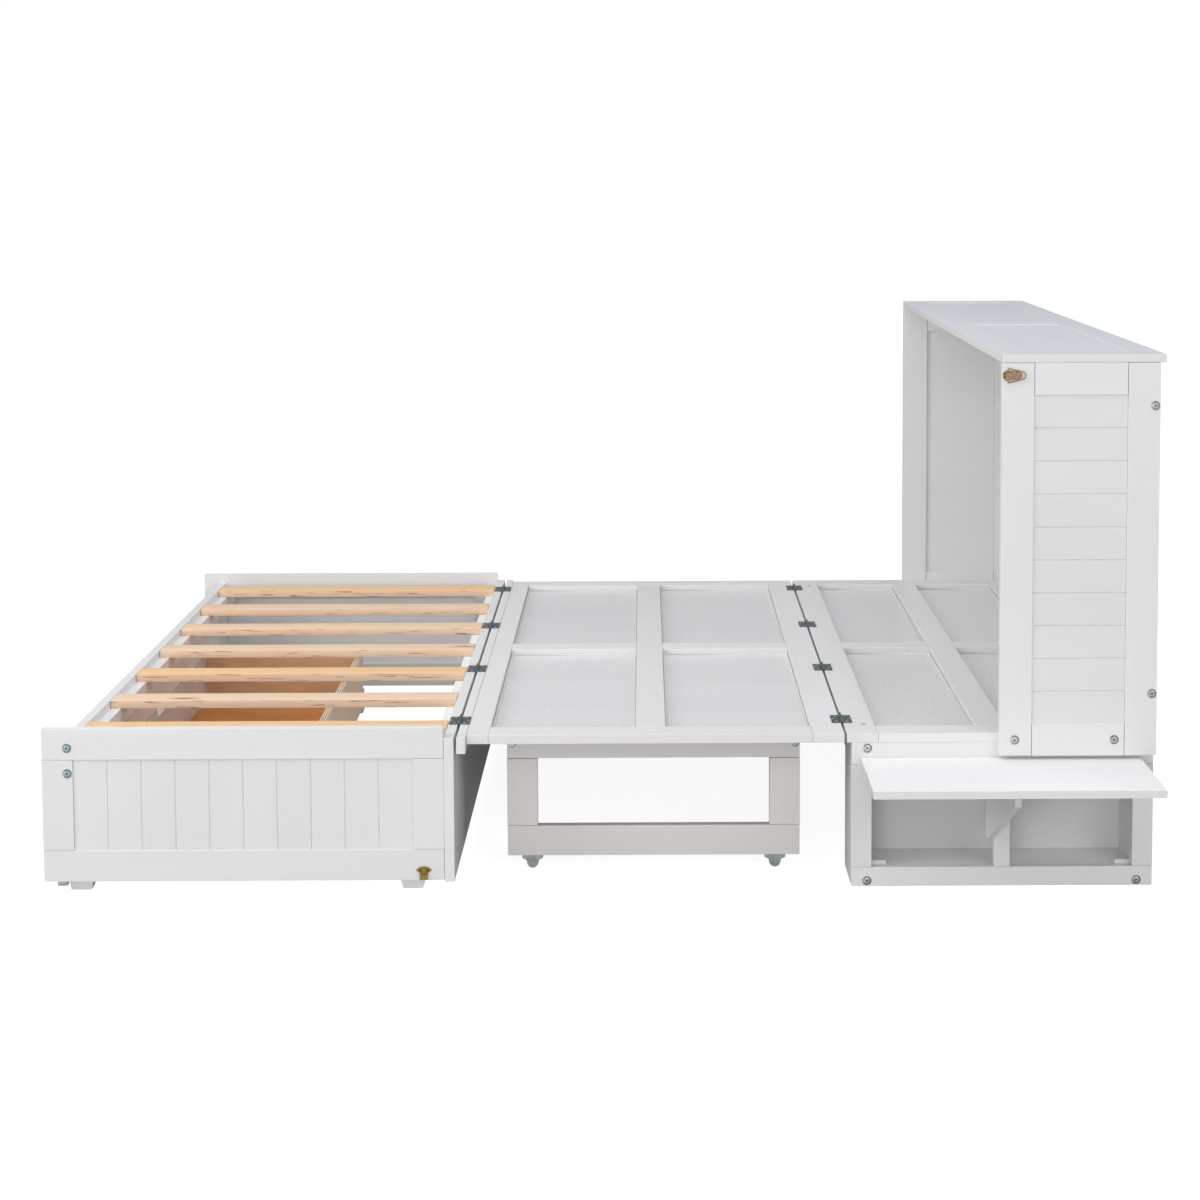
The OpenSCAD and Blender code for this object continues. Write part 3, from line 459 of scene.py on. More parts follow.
class Boards:
    """Boards with eased edges in one mesh, each with its own number for its grain and tone."""

    AXES = {"x": 0, "y": 1, "z": 2}

    def __init__(self, seed, joint=FINE_JOINT):
        self.joint = joint
        self.bm = bmesh.new()
        self.own = self.bm.faces.layers.float.new("board")
        self.dice = random.Random(seed)
        self.ease = bpy.context.scene.bed_paint.ease

    def add(self, lo, hi, axis, ease=None, seats=()):
        """Adds one board along the axis, its ends drawn in by half a joint's gap."""
        lo, hi = Vector(lo), Vector(hi)
        if seats:
            return self.add_cut(lo, hi, axis, seats)
        along = self.AXES[axis]
        lo[along] += self.joint
        hi[along] -= self.joint
        size = hi - lo
        ease = min(ease or self.ease, min(size) * 0.3)
        made = bmesh.ops.create_cube(self.bm, size=1.0)["verts"]
        for v in made:
            v.co = Vector((lo[i] + (v.co[i] + 0.5) * size[i] for i in range(3)))
        edges = list({e for v in made for e in v.link_edges})
        bevelled = bmesh.ops.bevel(
            self.bm, geom=edges, offset=ease, segments=2, profile=0.6, affect="EDGES")
        faces = {f for v in bevelled["verts"] for f in v.link_faces} | {
            f for v in made if v.is_valid for f in v.link_faces}
        tone = self.dice.random()
        for f in faces:
            f[self.own] = tone
            f.material_index = self.AXES[axis]
            f.smooth = False
        return self

    def add_cut(self, lo, hi, axis, seats):
        """Adds one board with round seats cut into it: (centre, radius, depth) along Y."""
        part = Boards(self.dice.random(), self.joint)
        part.add(lo, hi, axis)
        board = link("cut board", mesh_of("cut board", part.bm))
        cutters = [cutter_along_y(centre, radius, 2 * depth) for centre, radius, depth in seats]
        for cutter in cutters:
            mod = board.modifiers.new("seat", "BOOLEAN")
            mod.operation, mod.solver, mod.object = "DIFFERENCE", "EXACT", cutter
        before = len(self.bm.faces)
        self.bm.from_mesh(mesh_from(board))
        self.bm.faces.ensure_lookup_table()
        for f in self.bm.faces[before:]:
            f.material_index = self.AXES[axis]
        for obj in cutters + [board]:
            bpy.data.objects.remove(obj)
        return self

    def done(self, name, body, kind="white", replaces=(), slot="white_paint", sides=None):
        """Makes the boards one piece; sides is the paint of the faces that don't look up."""
        mats = [paint(axis, kind) for axis in self.AXES]
        # Faces that don't look up can take a second paint, so that a board's top and sides differ
        # in painted light.
        if sides:
            mats += [paint(axis, sides) for axis in self.AXES]
            for f in self.bm.faces:
                f.normal_update()
                if f.normal.z < 0.25:
                    f.material_index += 3
        return show(name, mesh_of(name, self.bm), body, mats, replaces)


def span(node):
    """The lowest and the highest corner of a CAD node's box."""
    lo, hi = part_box(node)
    return Vector(lo), Vector(hi)


def cutter_along_y(centre, radius, length, sides=40):
    """A cylinder along Y that cuts a round seat."""
    bm = bmesh.new()
    bmesh.ops.create_cone(bm, cap_ends=True, segments=sides, radius1=radius, radius2=radius,
                          depth=length)
    turn = Vector((0, 0, 1)).rotation_difference(Vector((0, 1, 0))).to_matrix().to_4x4()
    bmesh.ops.transform(bm, matrix=Matrix.Translation(centre) @ turn, verts=bm.verts)
    return link("cutter", mesh_of("cutter", bm))


def dress(node, materials, pick=None):
    """Gives a CAD node its materials; pick chooses one for each face, by number."""
    mesh = CAD[node].data
    mesh.materials.clear()
    for mat in materials:
        mesh.materials.append(mat)
    if pick:
        for face in mesh.polygons:
            face.material_index = pick(face)


def finish_cad(nodes, mat):
    """Gives whole CAD nodes one material."""
    for node in nodes:
        dress(node, [mat])


def finish_bolts(node, ring=None, rim=None):
    """Bright raised middles, with the sunk faces darker. The washer round them is a darker zinc
    that also paints the shade of the groove by the head. The socket in them is dark teal, as
    painted shade.
    """
    dress(node, [ring or plated("bright"), rim or plated("washer"),
                 zinc("teal socket zinc", (0.15, 0.27, 0.30), 0.40)])
    middle = sum(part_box(node)[i][1] for i in (0, 1)) / 2
    bolts = []
    for face in CAD[node].data.polygons:
        for start, faces in bolts:
            if (face.center - start).length < BOLT_REACH:
                faces.append(face)
                break
        else:
            bolts.append((face.center.copy(), [face]))
    for _, faces in bolts:
        proud = max(abs(f.center.y - middle) for f in faces)
        x, z = ((min(f.center[i] for f in faces) + max(f.center[i] for f in faces)) / 2
                for i in (0, 2))
        for face in faces:
            sunk = proud - abs(face.center.y - middle) > BOLT_STEP
            in_socket = math.hypot(face.center.x - x, face.center.z - z) < SOCKET_RADIUS
            face.material_index = 0 if not sunk else 2 if in_socket else 1


# Geometry node helpers

class Tree(Nodes):
    """A geometry node tree with named inputs, one of them a material."""

    def __init__(self, name, **inputs):
        super().__init__(bpy.data.node_groups.new(name, "GeometryNodeTree"))
        face = self.tree.interface
        face.new_socket("Geometry", in_out="INPUT", socket_type="NodeSocketGeometry")
        for key, kind in {**inputs, "Material": "Material"}.items():
            face.new_socket(key, in_out="INPUT", socket_type="NodeSocket" + kind)
        face.new_socket("Geometry", in_out="OUTPUT", socket_type="NodeSocketGeometry")
        self.given = self.tree.nodes.new("NodeGroupInput")
        self.result = self.tree.nodes.new("NodeGroupOutput")

    def take(self, key):
        return self.given.outputs[key]

    def end(self, geometry):
        """Makes the instances real, sets the material and hands the tree over."""
        real = self.node("GeometryNodeRealizeInstances", {"Geometry": geometry})
        skin = self.node("GeometryNodeSetMaterial", {
            "Geometry": real.outputs[0], "Material": self.take("Material")})
        self.put(self.result.inputs["Geometry"], skin.outputs[0])
        return self.tree


def grow(name, tree, values, body, seed_mesh=None, replaces=()):
    """Runs a geometry node tree once and keeps its result as a plain mesh."""
    source = link(name + " source", seed_mesh or bpy.data.meshes.new(name))
    mod = source.modifiers.new("grow", "NODES")
    mod.node_group = tree
    for item in tree.interface.items_tree:
        if item.item_type == "SOCKET" and item.in_out == "INPUT" and item.name in values:
            mod[item.identifier] = values[item.name]
    made = mesh_from(source)
    bpy.data.objects.remove(source)
    made.name = name
    return show(name, made, body, replaces=replaces)


SLAT_SEED = 441
SCREW_RISE = 0.0004
BEAD_WIDTH, BEAD_HEIGHT, BEAD_GAP = 0.0045, 0.0030, 0.0004


def slat_tree():
    """A row of boards with rounded long edges, side by side along Y."""
    found = bpy.data.node_groups.get("slat row")
    if found:
        return found
    t = Tree("slat row", Count="Int", Pitch="Float", Length="Float", Width="Float",
             Thickness="Float", Easing="Float", Start="Vector")
    section = t.node("GeometryNodeCurvePrimitiveQuadrilateral", {
        "Width": t.take("Width"), "Height": t.take("Thickness")})
    eased = t.node("GeometryNodeFilletCurve", {
        "Curve": section.outputs[0], "Radius": t.take("Easing"), "Count": 3}, mode="POLY")
    reach = t.node("ShaderNodeCombineXYZ", {"X": t.take("Length")})
    rail = t.node("GeometryNodeCurvePrimitiveLine", {"End": reach.outputs[0]})
    board = t.node("GeometryNodeCurveToMesh", {
        "Curve": rail.outputs[0], "Profile Curve": eased.outputs[0], "Fill Caps": True})
    step = t.node("ShaderNodeCombineXYZ", {"Y": t.take("Pitch")})
    row = t.node("GeometryNodeMeshLine", {
        "Count": t.take("Count"), "Start Location": t.take("Start"),
        "Offset": step.outputs[0]}, mode="OFFSET")
    placed = t.node("GeometryNodeInstanceOnPoints", {
        "Points": row.outputs[0], "Instance": board.outputs[0]})
    dice = t.node("FunctionNodeRandomValue", data_type="FLOAT", inputs={
        "Seed": SLAT_SEED, "ID": t.node("GeometryNodeInputIndex").outputs[0]})
    own = t.node("GeometryNodeStoreNamedAttribute", {
        "Geometry": placed.outputs[0], "Name": "board", "Value": dice.outputs[1]},
        data_type="FLOAT", domain="INSTANCE")
    return t.end(own.outputs[0])


def screw_tree():
    """Countersunk screw heads with a cross recess, one on each point, each facing its own way."""
    found = bpy.data.node_groups.get("screw heads")
    if found:
        return found
    t = Tree("screw heads", Radius="Float", Height="Float")
    dish = t.node("GeometryNodeMeshCone", {
        "Vertices": 16, "Radius Top": 0.8, "Radius Bottom": 1.0, "Depth": 0.5})
    slots = []
    for turn in (0.0, math.pi / 2):
        bar = t.node("GeometryNodeMeshCube", {"Size": (1.25, 0.26, 0.3)})
        slots.append(t.node("GeometryNodeTransform", {
            "Geometry": bar.outputs[0], "Translation": (0, 0, 0.5),
            "Rotation": (0, 0, turn)}).outputs[0])
    cut = t.node("GeometryNodeMeshBoolean", operation="DIFFERENCE", solver="EXACT")
    t.put(cut.inputs["Mesh 1"], dish.outputs[0])
    for slot in slots:
        t.put(cut.inputs["Mesh 2"], slot)
    scale = t.node("ShaderNodeCombineXYZ", {
        "X": t.take("Radius"), "Y": t.take("Radius"), "Z": t.times(t.take("Height"), 2.0)})
    facing = t.node("GeometryNodeInputNamedAttribute", {"Name": "facing"}, data_type="FLOAT_VECTOR")
    turned = t.node("FunctionNodeAlignRotationToVector", {"Vector": facing.outputs[0]}, axis="Z")
    spin = t.node("FunctionNodeRandomValue", data_type="FLOAT", inputs={3: 3.14, "Seed": 5})
    own_turn = t.node("FunctionNodeAxisAngleToRotation", {"Angle": spin.outputs[1]})
    both = t.node("FunctionNodeRotateRotation", {
        "Rotation": turned.outputs[0], "Rotate By": own_turn.outputs[0]}, rotation_space="LOCAL")
    placed = t.node("GeometryNodeInstanceOnPoints", {
        "Points": t.take("Geometry"), "Instance": cut.outputs[0], "Rotation": both.outputs[0],
        "Scale": scale.outputs[0]})
    return t.end(placed.outputs[0])


def screws(name, body, places, metal="brass", radius=None):
    """One screw head at each (point, direction)."""
    mesh = bpy.data.meshes.new(name + " points")
    mesh.from_pydata([tuple(p) for p, _ in places], [], [])
    facing = mesh.attributes.new("facing", "FLOAT_VECTOR", "POINT")
    facing.data.foreach_set("vector", [c for _, d in places for c in d])
    return grow(name, screw_tree(), {
        "Radius": radius or bpy.context.scene.bed_metal.screw, "Height": SCREW_RISE,
        "Material": plated(metal)}, body, mesh)


def bead_tree():
    """A small moulding that follows a closed rectangle."""
    found = bpy.data.node_groups.get("panel bead")
    if found:
        return found
    t = Tree("panel bead", Width="Float", Height="Float")
    path = t.node("GeometryNodeMeshToCurve", {"Mesh": t.take("Geometry")})
    upright = t.node("GeometryNodeSetCurveNormal", {"Curve": path.outputs[0]}, mode="Z_UP")
    section = t.node("GeometryNodeCurvePrimitiveQuadrilateral", {
        "Width": t.take("Width"), "Height": t.take("Height")})
    eased = t.node("GeometryNodeFilletCurve", {
        "Curve": section.outputs[0], "Radius": t.times(t.take("Height"), 0.25),
        "Count": 3}, mode="POLY")
    strip = t.node("GeometryNodeCurveToMesh", {
        "Curve": upright.outputs[0], "Profile Curve": eased.outputs[0]})
    return t.end(strip.outputs[0])


def beads(name, body, rectangles, z):
    """Bead mouldings round panels, a line's width inside the openings (x0, x1, y0, y1)."""
    verts, edges = [], []
    half = BEAD_WIDTH / 2 + BEAD_GAP
    for x0, x1, y0, y1 in rectangles:
        n = len(verts)
        verts += [(x0 + half, y0 + half, z), (x1 - half, y0 + half, z),
                  (x1 - half, y1 - half, z), (x0 + half, y1 - half, z)]
        edges += [(n + i, n + (i + 1) % 4) for i in range(4)]
    mesh = bpy.data.meshes.new(name + " path")
    mesh.from_pydata(verts, edges, [])
    return grow(name, bead_tree(), {
        "Width": BEAD_WIDTH, "Height": BEAD_HEIGHT, "Material": paint("x", "smooth")},
        body, mesh)


# Sizes of the boards that the CAD nodes don't give one by one

SLAT_WIDTH, SLAT_EASE = 55 * MM, 0.0006
SLAB_STILE, SLAB_CROSS = 55 * MM, 53 * MM
PANEL_TUCK, PANEL_LOW, PANEL_THICK = 4 * MM, 0.6 * MM, 3.0 * MM
BEAD_LIFT = 1.2 * MM
FOOT_MEMBER = LEG_MEMBER = 55 * MM
STILE_GAP = 0.35 * MM
RAIL_GAP = 0.5 * MM
CARRIER_BOARD = 18 * MM
BASE_POST, BASE_MIDDLE = 36 * MM, 28 * MM
BASE_LOW, BASE_TOP = 34 * MM, 39.5 * MM
SEAT_RADIUS, SEAT_DEPTH, SEAT_IN, SEAT_UP, SEAT_DOWN = 0.0085, 0.0022, 0.028, 0.0095, 0.010
SHELL_MEMBER, SHELL_FOOT, SHELL_INSET = 56 * MM, 16 * MM, 5 * MM
TOP_BACK, TOP_INSET, TOP_EASE = SHELL_MEMBER - 4 * MM, 2 * MM, 0.0015
FLAP_THICK = 13.05 * MM
PLY_THICK = 0.0125
AXLE_RADIUS = 2.6 * MM

# Hinges, latches and catches; the numbers in rows and lists of screws are millimetres

LEAF_THICK, PIN_IN = 1.5 * MM, 2.8 * MM
SCREW_LIFT = 0.0001
HINGE_ROWS = (-600, -200, 200, 600)
HINGE_SCREWS = ((9.2, -18), (14.6, 0), (9.2, 18))
SLAB_SCREW, SLAB_SCREWS = 0.0042, (35 * MM, 30 * MM, 64 * MM, 70 * MM)
LATCH_PLATE, LATCH_SCREW = 1.2 * MM, 0.0012
LATCH_SCREWS_X, LATCH_SCREWS_Z = (1.9, 4.3), (-3.6, 3.6)
CATCH_FACE, CATCH_SCREW_UP, CATCH_SCREW = 3.1 * MM, 16.3 * MM, 0.0023
CATCH_SCREWS_X = (-6.3, 6.3)


def upright_frame(boards, lo, hi, member, rails_run_through):
    """A frame standing along X; its two stiles are a hair narrow, so that a joint shows."""
    x0, x1, z0, z1 = lo.x, hi.x, lo.z, hi.z
    narrow = member - STILE_GAP
    if rails_run_through:
        boards.add((x0, lo.y, z0), (x1, hi.y, z0 + member), "x")
        boards.add((x0, lo.y, z1 - member), (x1, hi.y, z1), "x")
        boards.add((x0, lo.y, z0 + member), (x0 + narrow, hi.y, z1 - member), "z")
        boards.add((x1 - narrow, lo.y, z0 + member), (x1, hi.y, z1 - member), "z")
    else:
        boards.add((x0, lo.y, z0), (x0 + narrow, hi.y, z1), "z")
        boards.add((x1 - narrow, lo.y, z0), (x1, hi.y, z1), "z")
        boards.add((x0 + member, lo.y, z0), (x1 - member, hi.y, z0 + member), "x")
        boards.add((x0 + member, lo.y, z1 - member), (x1 - member, hi.y, z1), "x")
    return boards


def deck_frame(name, node, body, stile0, stile1, seed, panels, grain):
    """A flat framed slab with beads in its four openings and thin panels low in them."""
    lo, hi = span(node)
    x0, x1, y0, y1, z0, z1 = lo.x, hi.x, lo.y, hi.y, lo.z, hi.z
    mid_x = (x0 + stile0 + x1 - stile1) / 2
    mid_y = (y0 + y1) / 2
    half = SLAB_CROSS / 2
    b = Boards(seed)
    b.add((x0, y0, z0), (x0 + stile0, y1, z1), "y")
    b.add((x1 - stile1, y0, z0), (x1, y1, z1), "y")
    b.add((x0 + stile0, y0, z0), (x1 - stile1, y0 + SLAB_STILE, z1), "x")
    b.add((x0 + stile0, y1 - SLAB_STILE, z0), (x1 - stile1, y1, z1), "x")
    b.add((mid_x - half, y0 + SLAB_STILE, z0), (mid_x + half, y1 - SLAB_STILE, z1), "y")
    b.add((x0 + stile0, mid_y - half, z0), (mid_x - half, mid_y + half, z1), "x")
    b.add((mid_x + half, mid_y - half, z0), (x1 - stile1, mid_y + half, z1), "x")
    b.done(name, body, replaces=[node])
    cells = [(u0, u1, v0, v1)
             for u0, u1 in ((x0 + stile0, mid_x - half), (mid_x + half, x1 - stile1))
             for v0, v1 in ((y0 + SLAB_STILE, mid_y - half), (mid_y + half, y1 - SLAB_STILE))]
    sheets = Boards(seed + 40)
    under, face = z0 + PANEL_LOW, z0 + PANEL_LOW + PANEL_THICK
    for u0, u1, v0, v1 in cells:
        sheets.add((u0 - PANEL_TUCK, v0 - PANEL_TUCK, under),
                   (u1 + PANEL_TUCK, v1 + PANEL_TUCK, face), grain)
    sheets.done(name + "_panels", body, "panel", slot="panel_paint", replaces=[panels])
    beads(name + "_beads", body, cells, face + BEAD_LIFT)


# Operators

class Maker(bpy.types.Operator):
    """Base for the makers of this bed's pieces"""
    bl_options = {"REGISTER", "UNDO"}

    def make(self, context):
        raise NotImplementedError

    def execute(self, context):
        self.make(context)
        return {"FINISHED"}


LENS, SHIFT = 64.971, (-0.0404, -0.235)
EYE, TURN = (0.0755, -4.3422, 1.2772), (90 - 4.146, 0.213, -0.155)
FLOOR_HALF, FLOOR_DROP = 14.0, 0.0005

# Each soft light, whose power is the stage setting of that name: place, aim, size, colour
SOFTBOXES = {
    "key": ((-2.2, -2.2, 3.2), (0.3, 0, 0.2), (2.4, 2.0), (1, 0.985, 0.985)),
    "fill": ((2.4, -3.4, 1.9), (0.7, -0.6, 0.2), (2.0, 1.6), (1, 1, 1)),
    "top": ((0.0, -0.4, 4.2), (0, 0, 0.2), (4.0, 3.0), (0.94, 0.97, 1)),
    "low": ((-0.4, -4.6, 0.8), (0.7, -0.6, 0.1), (1.8, 1.0), (1, 1, 1)),
    "side": ((-3.4, -1.4, 1.7), (0.7, 0.6, 0.5), (2.0, 1.6), (1, 1, 1)),
}


class MakeStage(Maker):
    """Sets up the camera, the pale floor and the soft studio lights"""
    bl_idname = "cabinet_bed.stage"
    bl_label = "Studio and camera"

    def make(self, context):
        scene = context.scene
        data = bpy.data.cameras.new("Camera")
        data.sensor_width = 36.0
        data.lens = LENS
        data.shift_x, data.shift_y = SHIFT
        data.clip_start, data.clip_end = 0.05, 60.0
        camera = link("Camera", data)
        camera.location = EYE
        camera.rotation_euler = [math.radians(angle) for angle in TURN]
        scene.camera = camera
        self.make_floor(scene.bed_stage)
        self.make_surround(scene)
        for key, (place, aim, size, colour) in SOFTBOXES.items():
            light = bpy.data.lights.new(key + " softbox", "AREA")
            light.color = colour
            light.shape = "RECTANGLE"
            light.size, light.size_y = size
            light.energy = getattr(scene.bed_stage, key)
            obj = link(key + " softbox", light)
            obj.location = place
            obj.rotation_mode = "QUATERNION"
            obj.rotation_quaternion = (Vector(aim) - Vector(place)).to_track_quat("-Z", "Y")
        scene.view_settings.view_transform = "Standard"

    def make_floor(self, setting):
        """A matt floor that glows for the camera and throws up only a little light."""
        bm = bmesh.new()
        bmesh.ops.create_grid(bm, x_segments=1, y_segments=1, size=FLOOR_HALF)
        floor = link("floor", mesh_of("floor", bm))
        floor.location.z = -FLOOR_DROP
        mat, tree = tree_of("studio floor")
        s = Shade(tree)
        soft = s.noise(s.coordinates(), 0.5, 2)
        colour = tuple(setting.floor)
        tones = [(0.3, scaled(colour, 0.99)), (0.7, colour)]
        s.put(s.out.inputs["Base Color"], s.ramp(soft, tones))
        s.out.inputs["Roughness"].default_value = 0.9
        s.out.inputs["Specular IOR Level"].default_value = 0.1
        s.out.inputs["Emission Color"].default_value = (1, 1, 1, 1)
        seen = s.node("ShaderNodeLightPath").outputs["Is Camera Ray"]
        s.put(s.out.inputs["Emission Strength"], s.math(
            "MULTIPLY_ADD", seen, setting.glow - setting.spill, setting.spill))
        floor.data.materials.append(mat)

    def make_surround(self, scene):
        """White for the camera, dimmer as a light."""
        world = scene.world = bpy.data.worlds.new("even surround")
        world.use_nodes = True
        back = world.node_tree.nodes["Background"].inputs
        w = Nodes(world.node_tree)
        seen = w.node("ShaderNodeLightPath").outputs["Is Camera Ray"]
        sky = scene.bed_stage.sky
        w.put(back["Color"], (1, 1, 1, 1))
        w.put(back["Strength"], w.math("MULTIPLY_ADD", seen, 1.0 - sky, sky))


class MakeFootBox(Maker):
    """Makes the foot box: framed sides, end boards, ledgers and feet"""
    bl_idname = "cabinet_bed.foot_box"
    bl_label = "Foot box"

    def make(self, context):
        for side, seed in (("near", 3), ("far", 4)):
            node = "foot_side_" + side
            lo, hi = span(node)
            boards = upright_frame(Boards(seed, OPEN_JOINT), lo, hi, FOOT_MEMBER, True)
            boards.done(f"side_frame_{side}", "foot", replaces=[node])
        lo, hi = span("foot_hinge_board")
        Boards(5).add(lo, hi, "y").done("fold_end_board", "foot", replaces=["foot_hinge_board"])
        # Painted light: the inward faces of the side planks and the end frame, and the slat
        # ledgers, take the lighter paint, which stands in for the light inside the box.
        dress("foot_side_planks", [paint("z"), paint("z", "flap")],
              lambda f: int(abs(f.normal.y) > 0.8 and f.normal.y * f.center.y < 0))
        dress("foot_end_frame", [paint("y"), paint("y", "flap")], lambda f: int(f.normal.x > 0.8))
        finish_cad(["slat_ledgers"], paint("y", "flap"))
        finish_cad(["block_feet"], paint("z", "flap"))
        finish_cad(["drawer_runners"], paint("x"))
        finish_cad(["bumper_glides"], moulded("ribbed grey rubber", (0.46, 0.48, 0.48), 0.6))
        # Teal bolts for the foot box. Their sunk washer ring and socket are darker: a darker zinc,
        # with painted shade in the groove and socket.
        finish_bolts("foot_bolts", zinc("teal bolt zinc", (0.42, 0.54, 0.565), 0.32),
                     zinc("teal washer zinc", (0.17, 0.24, 0.25), 0.40))
        finish_cad(["catches"], plated("yellow"))


class MakeSlats(Maker):
    """Lays the row of pine slats"""
    bl_idname = "cabinet_bed.slats"
    bl_label = "Slats"

    def make(self, context):
        lo, hi = span("slats")
        count = context.scene.bed_timber.slats
        grow("pine_slats", slat_tree(), {
            "Count": count, "Pitch": (hi.y - lo.y - SLAT_WIDTH) / (count - 1),
            "Length": hi.x - lo.x, "Width": SLAT_WIDTH, "Thickness": hi.z - lo.z,
            "Easing": SLAT_EASE, "Start": (lo.x, lo.y + SLAT_WIDTH / 2, (lo.z + hi.z) / 2),
            "Material": pine()}, "foot", replaces=["slats"])


class MakeDrawer(Maker):
    """Finishes the drawer"""
    bl_idname = "cabinet_bed.drawer"
    bl_label = "Drawer"

    def make(self, context):
        finish_cad(["drawer_front"], paint("y"))
        finish_cad(["drawer_box"], plywood())
        finish_cad(["drawer_bottom"], hardboard())
        lo, hi = span("drawer_box")
        mesh = CAD["drawer_box"].data
        layer = mesh.attributes.new("layer", "FLOAT", "FACE")
        layer.data.foreach_set("value", [
            float(min(abs(f.center.y - lo.y), abs(f.center.y - hi.y)) < PLY_THICK)
            for f in mesh.polygons])


class MakeDeck(Maker):
    """Makes the middle section: framed slab, hinge rail, leg carrier"""
    bl_idname = "cabinet_bed.deck"
    bl_label = "Middle section"

    def make(self, context):
        lo, hi = span("hinge_rail")
        Boards(7).add(lo, (hi.x - RAIL_GAP, hi.y, hi.z), "y").done(
            "fold_rail", "mid", replaces=["hinge_rail"])
        deck_frame("middle_deck", "mid_slab_frame", "mid", SLAB_STILE - (hi.x - lo.x), SLAB_STILE,
                   8, "mid_slab_panels", "x")
        lo, hi = span("leg_carrier")
        t = CARRIER_BOARD
        b = Boards(9)
        b.add(lo, (hi.x, lo.y + t, hi.z), "x")
        b.add((lo.x, hi.y - t, lo.z), hi, "x")
        b.add((lo.x, lo.y + t, lo.z), (lo.x + t, hi.y - t, hi.z), "y")
        b.add((hi.x - t, lo.y + t, lo.z), (hi.x, hi.y - t, hi.z), "y")
        # Painted shade: the carrier takes the warmer leg paint.
        b.done("leg_carrier_ring", "mid", "under", replaces=["leg_carrier"])
        finish_bolts("mid_bolts")


class MakeLegs(Maker):
    """Makes the leg frames and finishes the casters"""
    bl_idname = "cabinet_bed.legs"
    bl_label = "Leg frames"

    def make(self, context):
        for side, seed in (("near", 10), ("far", 12)):
            node = "leg_frame_" + side
            lo, hi = span(node)
            b = Boards(seed, DEEP_JOINT)
            b.add(lo, (hi.x, hi.y, lo.z + LEG_MEMBER), "x")
            b.add((lo.x, lo.y, lo.z + LEG_MEMBER), (lo.x + LEG_MEMBER, hi.y, hi.z), "z")
            b.add((hi.x - LEG_MEMBER, lo.y, lo.z + LEG_MEMBER), hi, "z")
            # Painted shade: the leg boards take the warmer leg paint.
            b.done(f"leg_boards_{side}", f"leg_{side}", "under", replaces=[node])
        steel = zinc("caster zinc", (0.38, 0.43, 0.44), 0.40)
        for side in ("near", "far"):
            # The axle rivets take bright zinc, a real brighter metal. Their brightness also stands
            # in for the rivet's highlight, as a painted highlight in part.
            axles = [sum(span(f"caster_wheel_{side}_{end}"), Vector()) / 2
                     for end in ("foot", "head")]
            dress(f"caster_forks_{side}", [steel, plated("bright")], lambda f: int(any(
                math.hypot(f.center.x - a.x, f.center.z - a.z) < AXLE_RADIUS for a in axles)))
        wheel = moulded("grey caster nylon", (0.14, 0.16, 0.17), 0.42)
        finish_cad([n for n in CAD if n.startswith("caster_wheel")], wheel)


class MakeHeadBase(Maker):
    """Makes the base under the head: side frames, shelves, rails"""
    bl_idname = "cabinet_bed.head_base"
    bl_label = "Head base"

    def make(self, context):
        for side, seed in (("near", 14), ("far", 15)):
            node = "base_side_frame_" + side
            lo, hi = span(node)
            face = lo.y if side == "near" else hi.y
            low, top = lo.z + BASE_LOW, hi.z - BASE_TOP
            middle = (lo.x + hi.x - BASE_MIDDLE) / 2

            def seat(x, z, y=face):
                return Vector((x, y, z)), SEAT_RADIUS, SEAT_DEPTH

            b = Boards(seed, OPEN_JOINT)
            b.add(lo, (hi.x, hi.y, low), "x",
                  seats=[seat(x, lo.z + SEAT_UP) for x in (lo.x + SEAT_IN, hi.x - SEAT_IN)])
            b.add((lo.x, lo.y, top), hi, "x", seats=[seat(lo.x + SEAT_IN, hi.z - SEAT_DOWN)])
            for x0, x1 in ((lo.x, lo.x + BASE_POST), (middle, middle + BASE_MIDDLE),
                           (hi.x - BASE_POST, hi.x)):
                b.add((x0, lo.y, low), (x1, hi.y, top), "z")
            b.done(f"base_frame_{side}", "head", replaces=[node])
        finish_cad(["base_end_boards", "corner_blocks"], paint("z"))
        finish_cad(["base_cross_rails"], paint("y"))
        finish_cad(["shelf_backs"], paint("x", "panel"))
        # Painted light: the shelf floors take the lighter paint, which stands in for the light that
        # falls in on them.
        finish_cad(["shelf_floors"], paint("x", "flap"))
        finish_bolts("head_bolts")


class MakeHeadDeck(Maker):
    """Makes the framed slab that carries the shell"""
    bl_idname = "cabinet_bed.head_deck"
    bl_label = "Head slab"

    def make(self, context):
        deck_frame("head_deck", "head_slab_frame", "head", SLAB_STILE, SLAB_STILE, 17,
                   "head_slab_panels", "y")


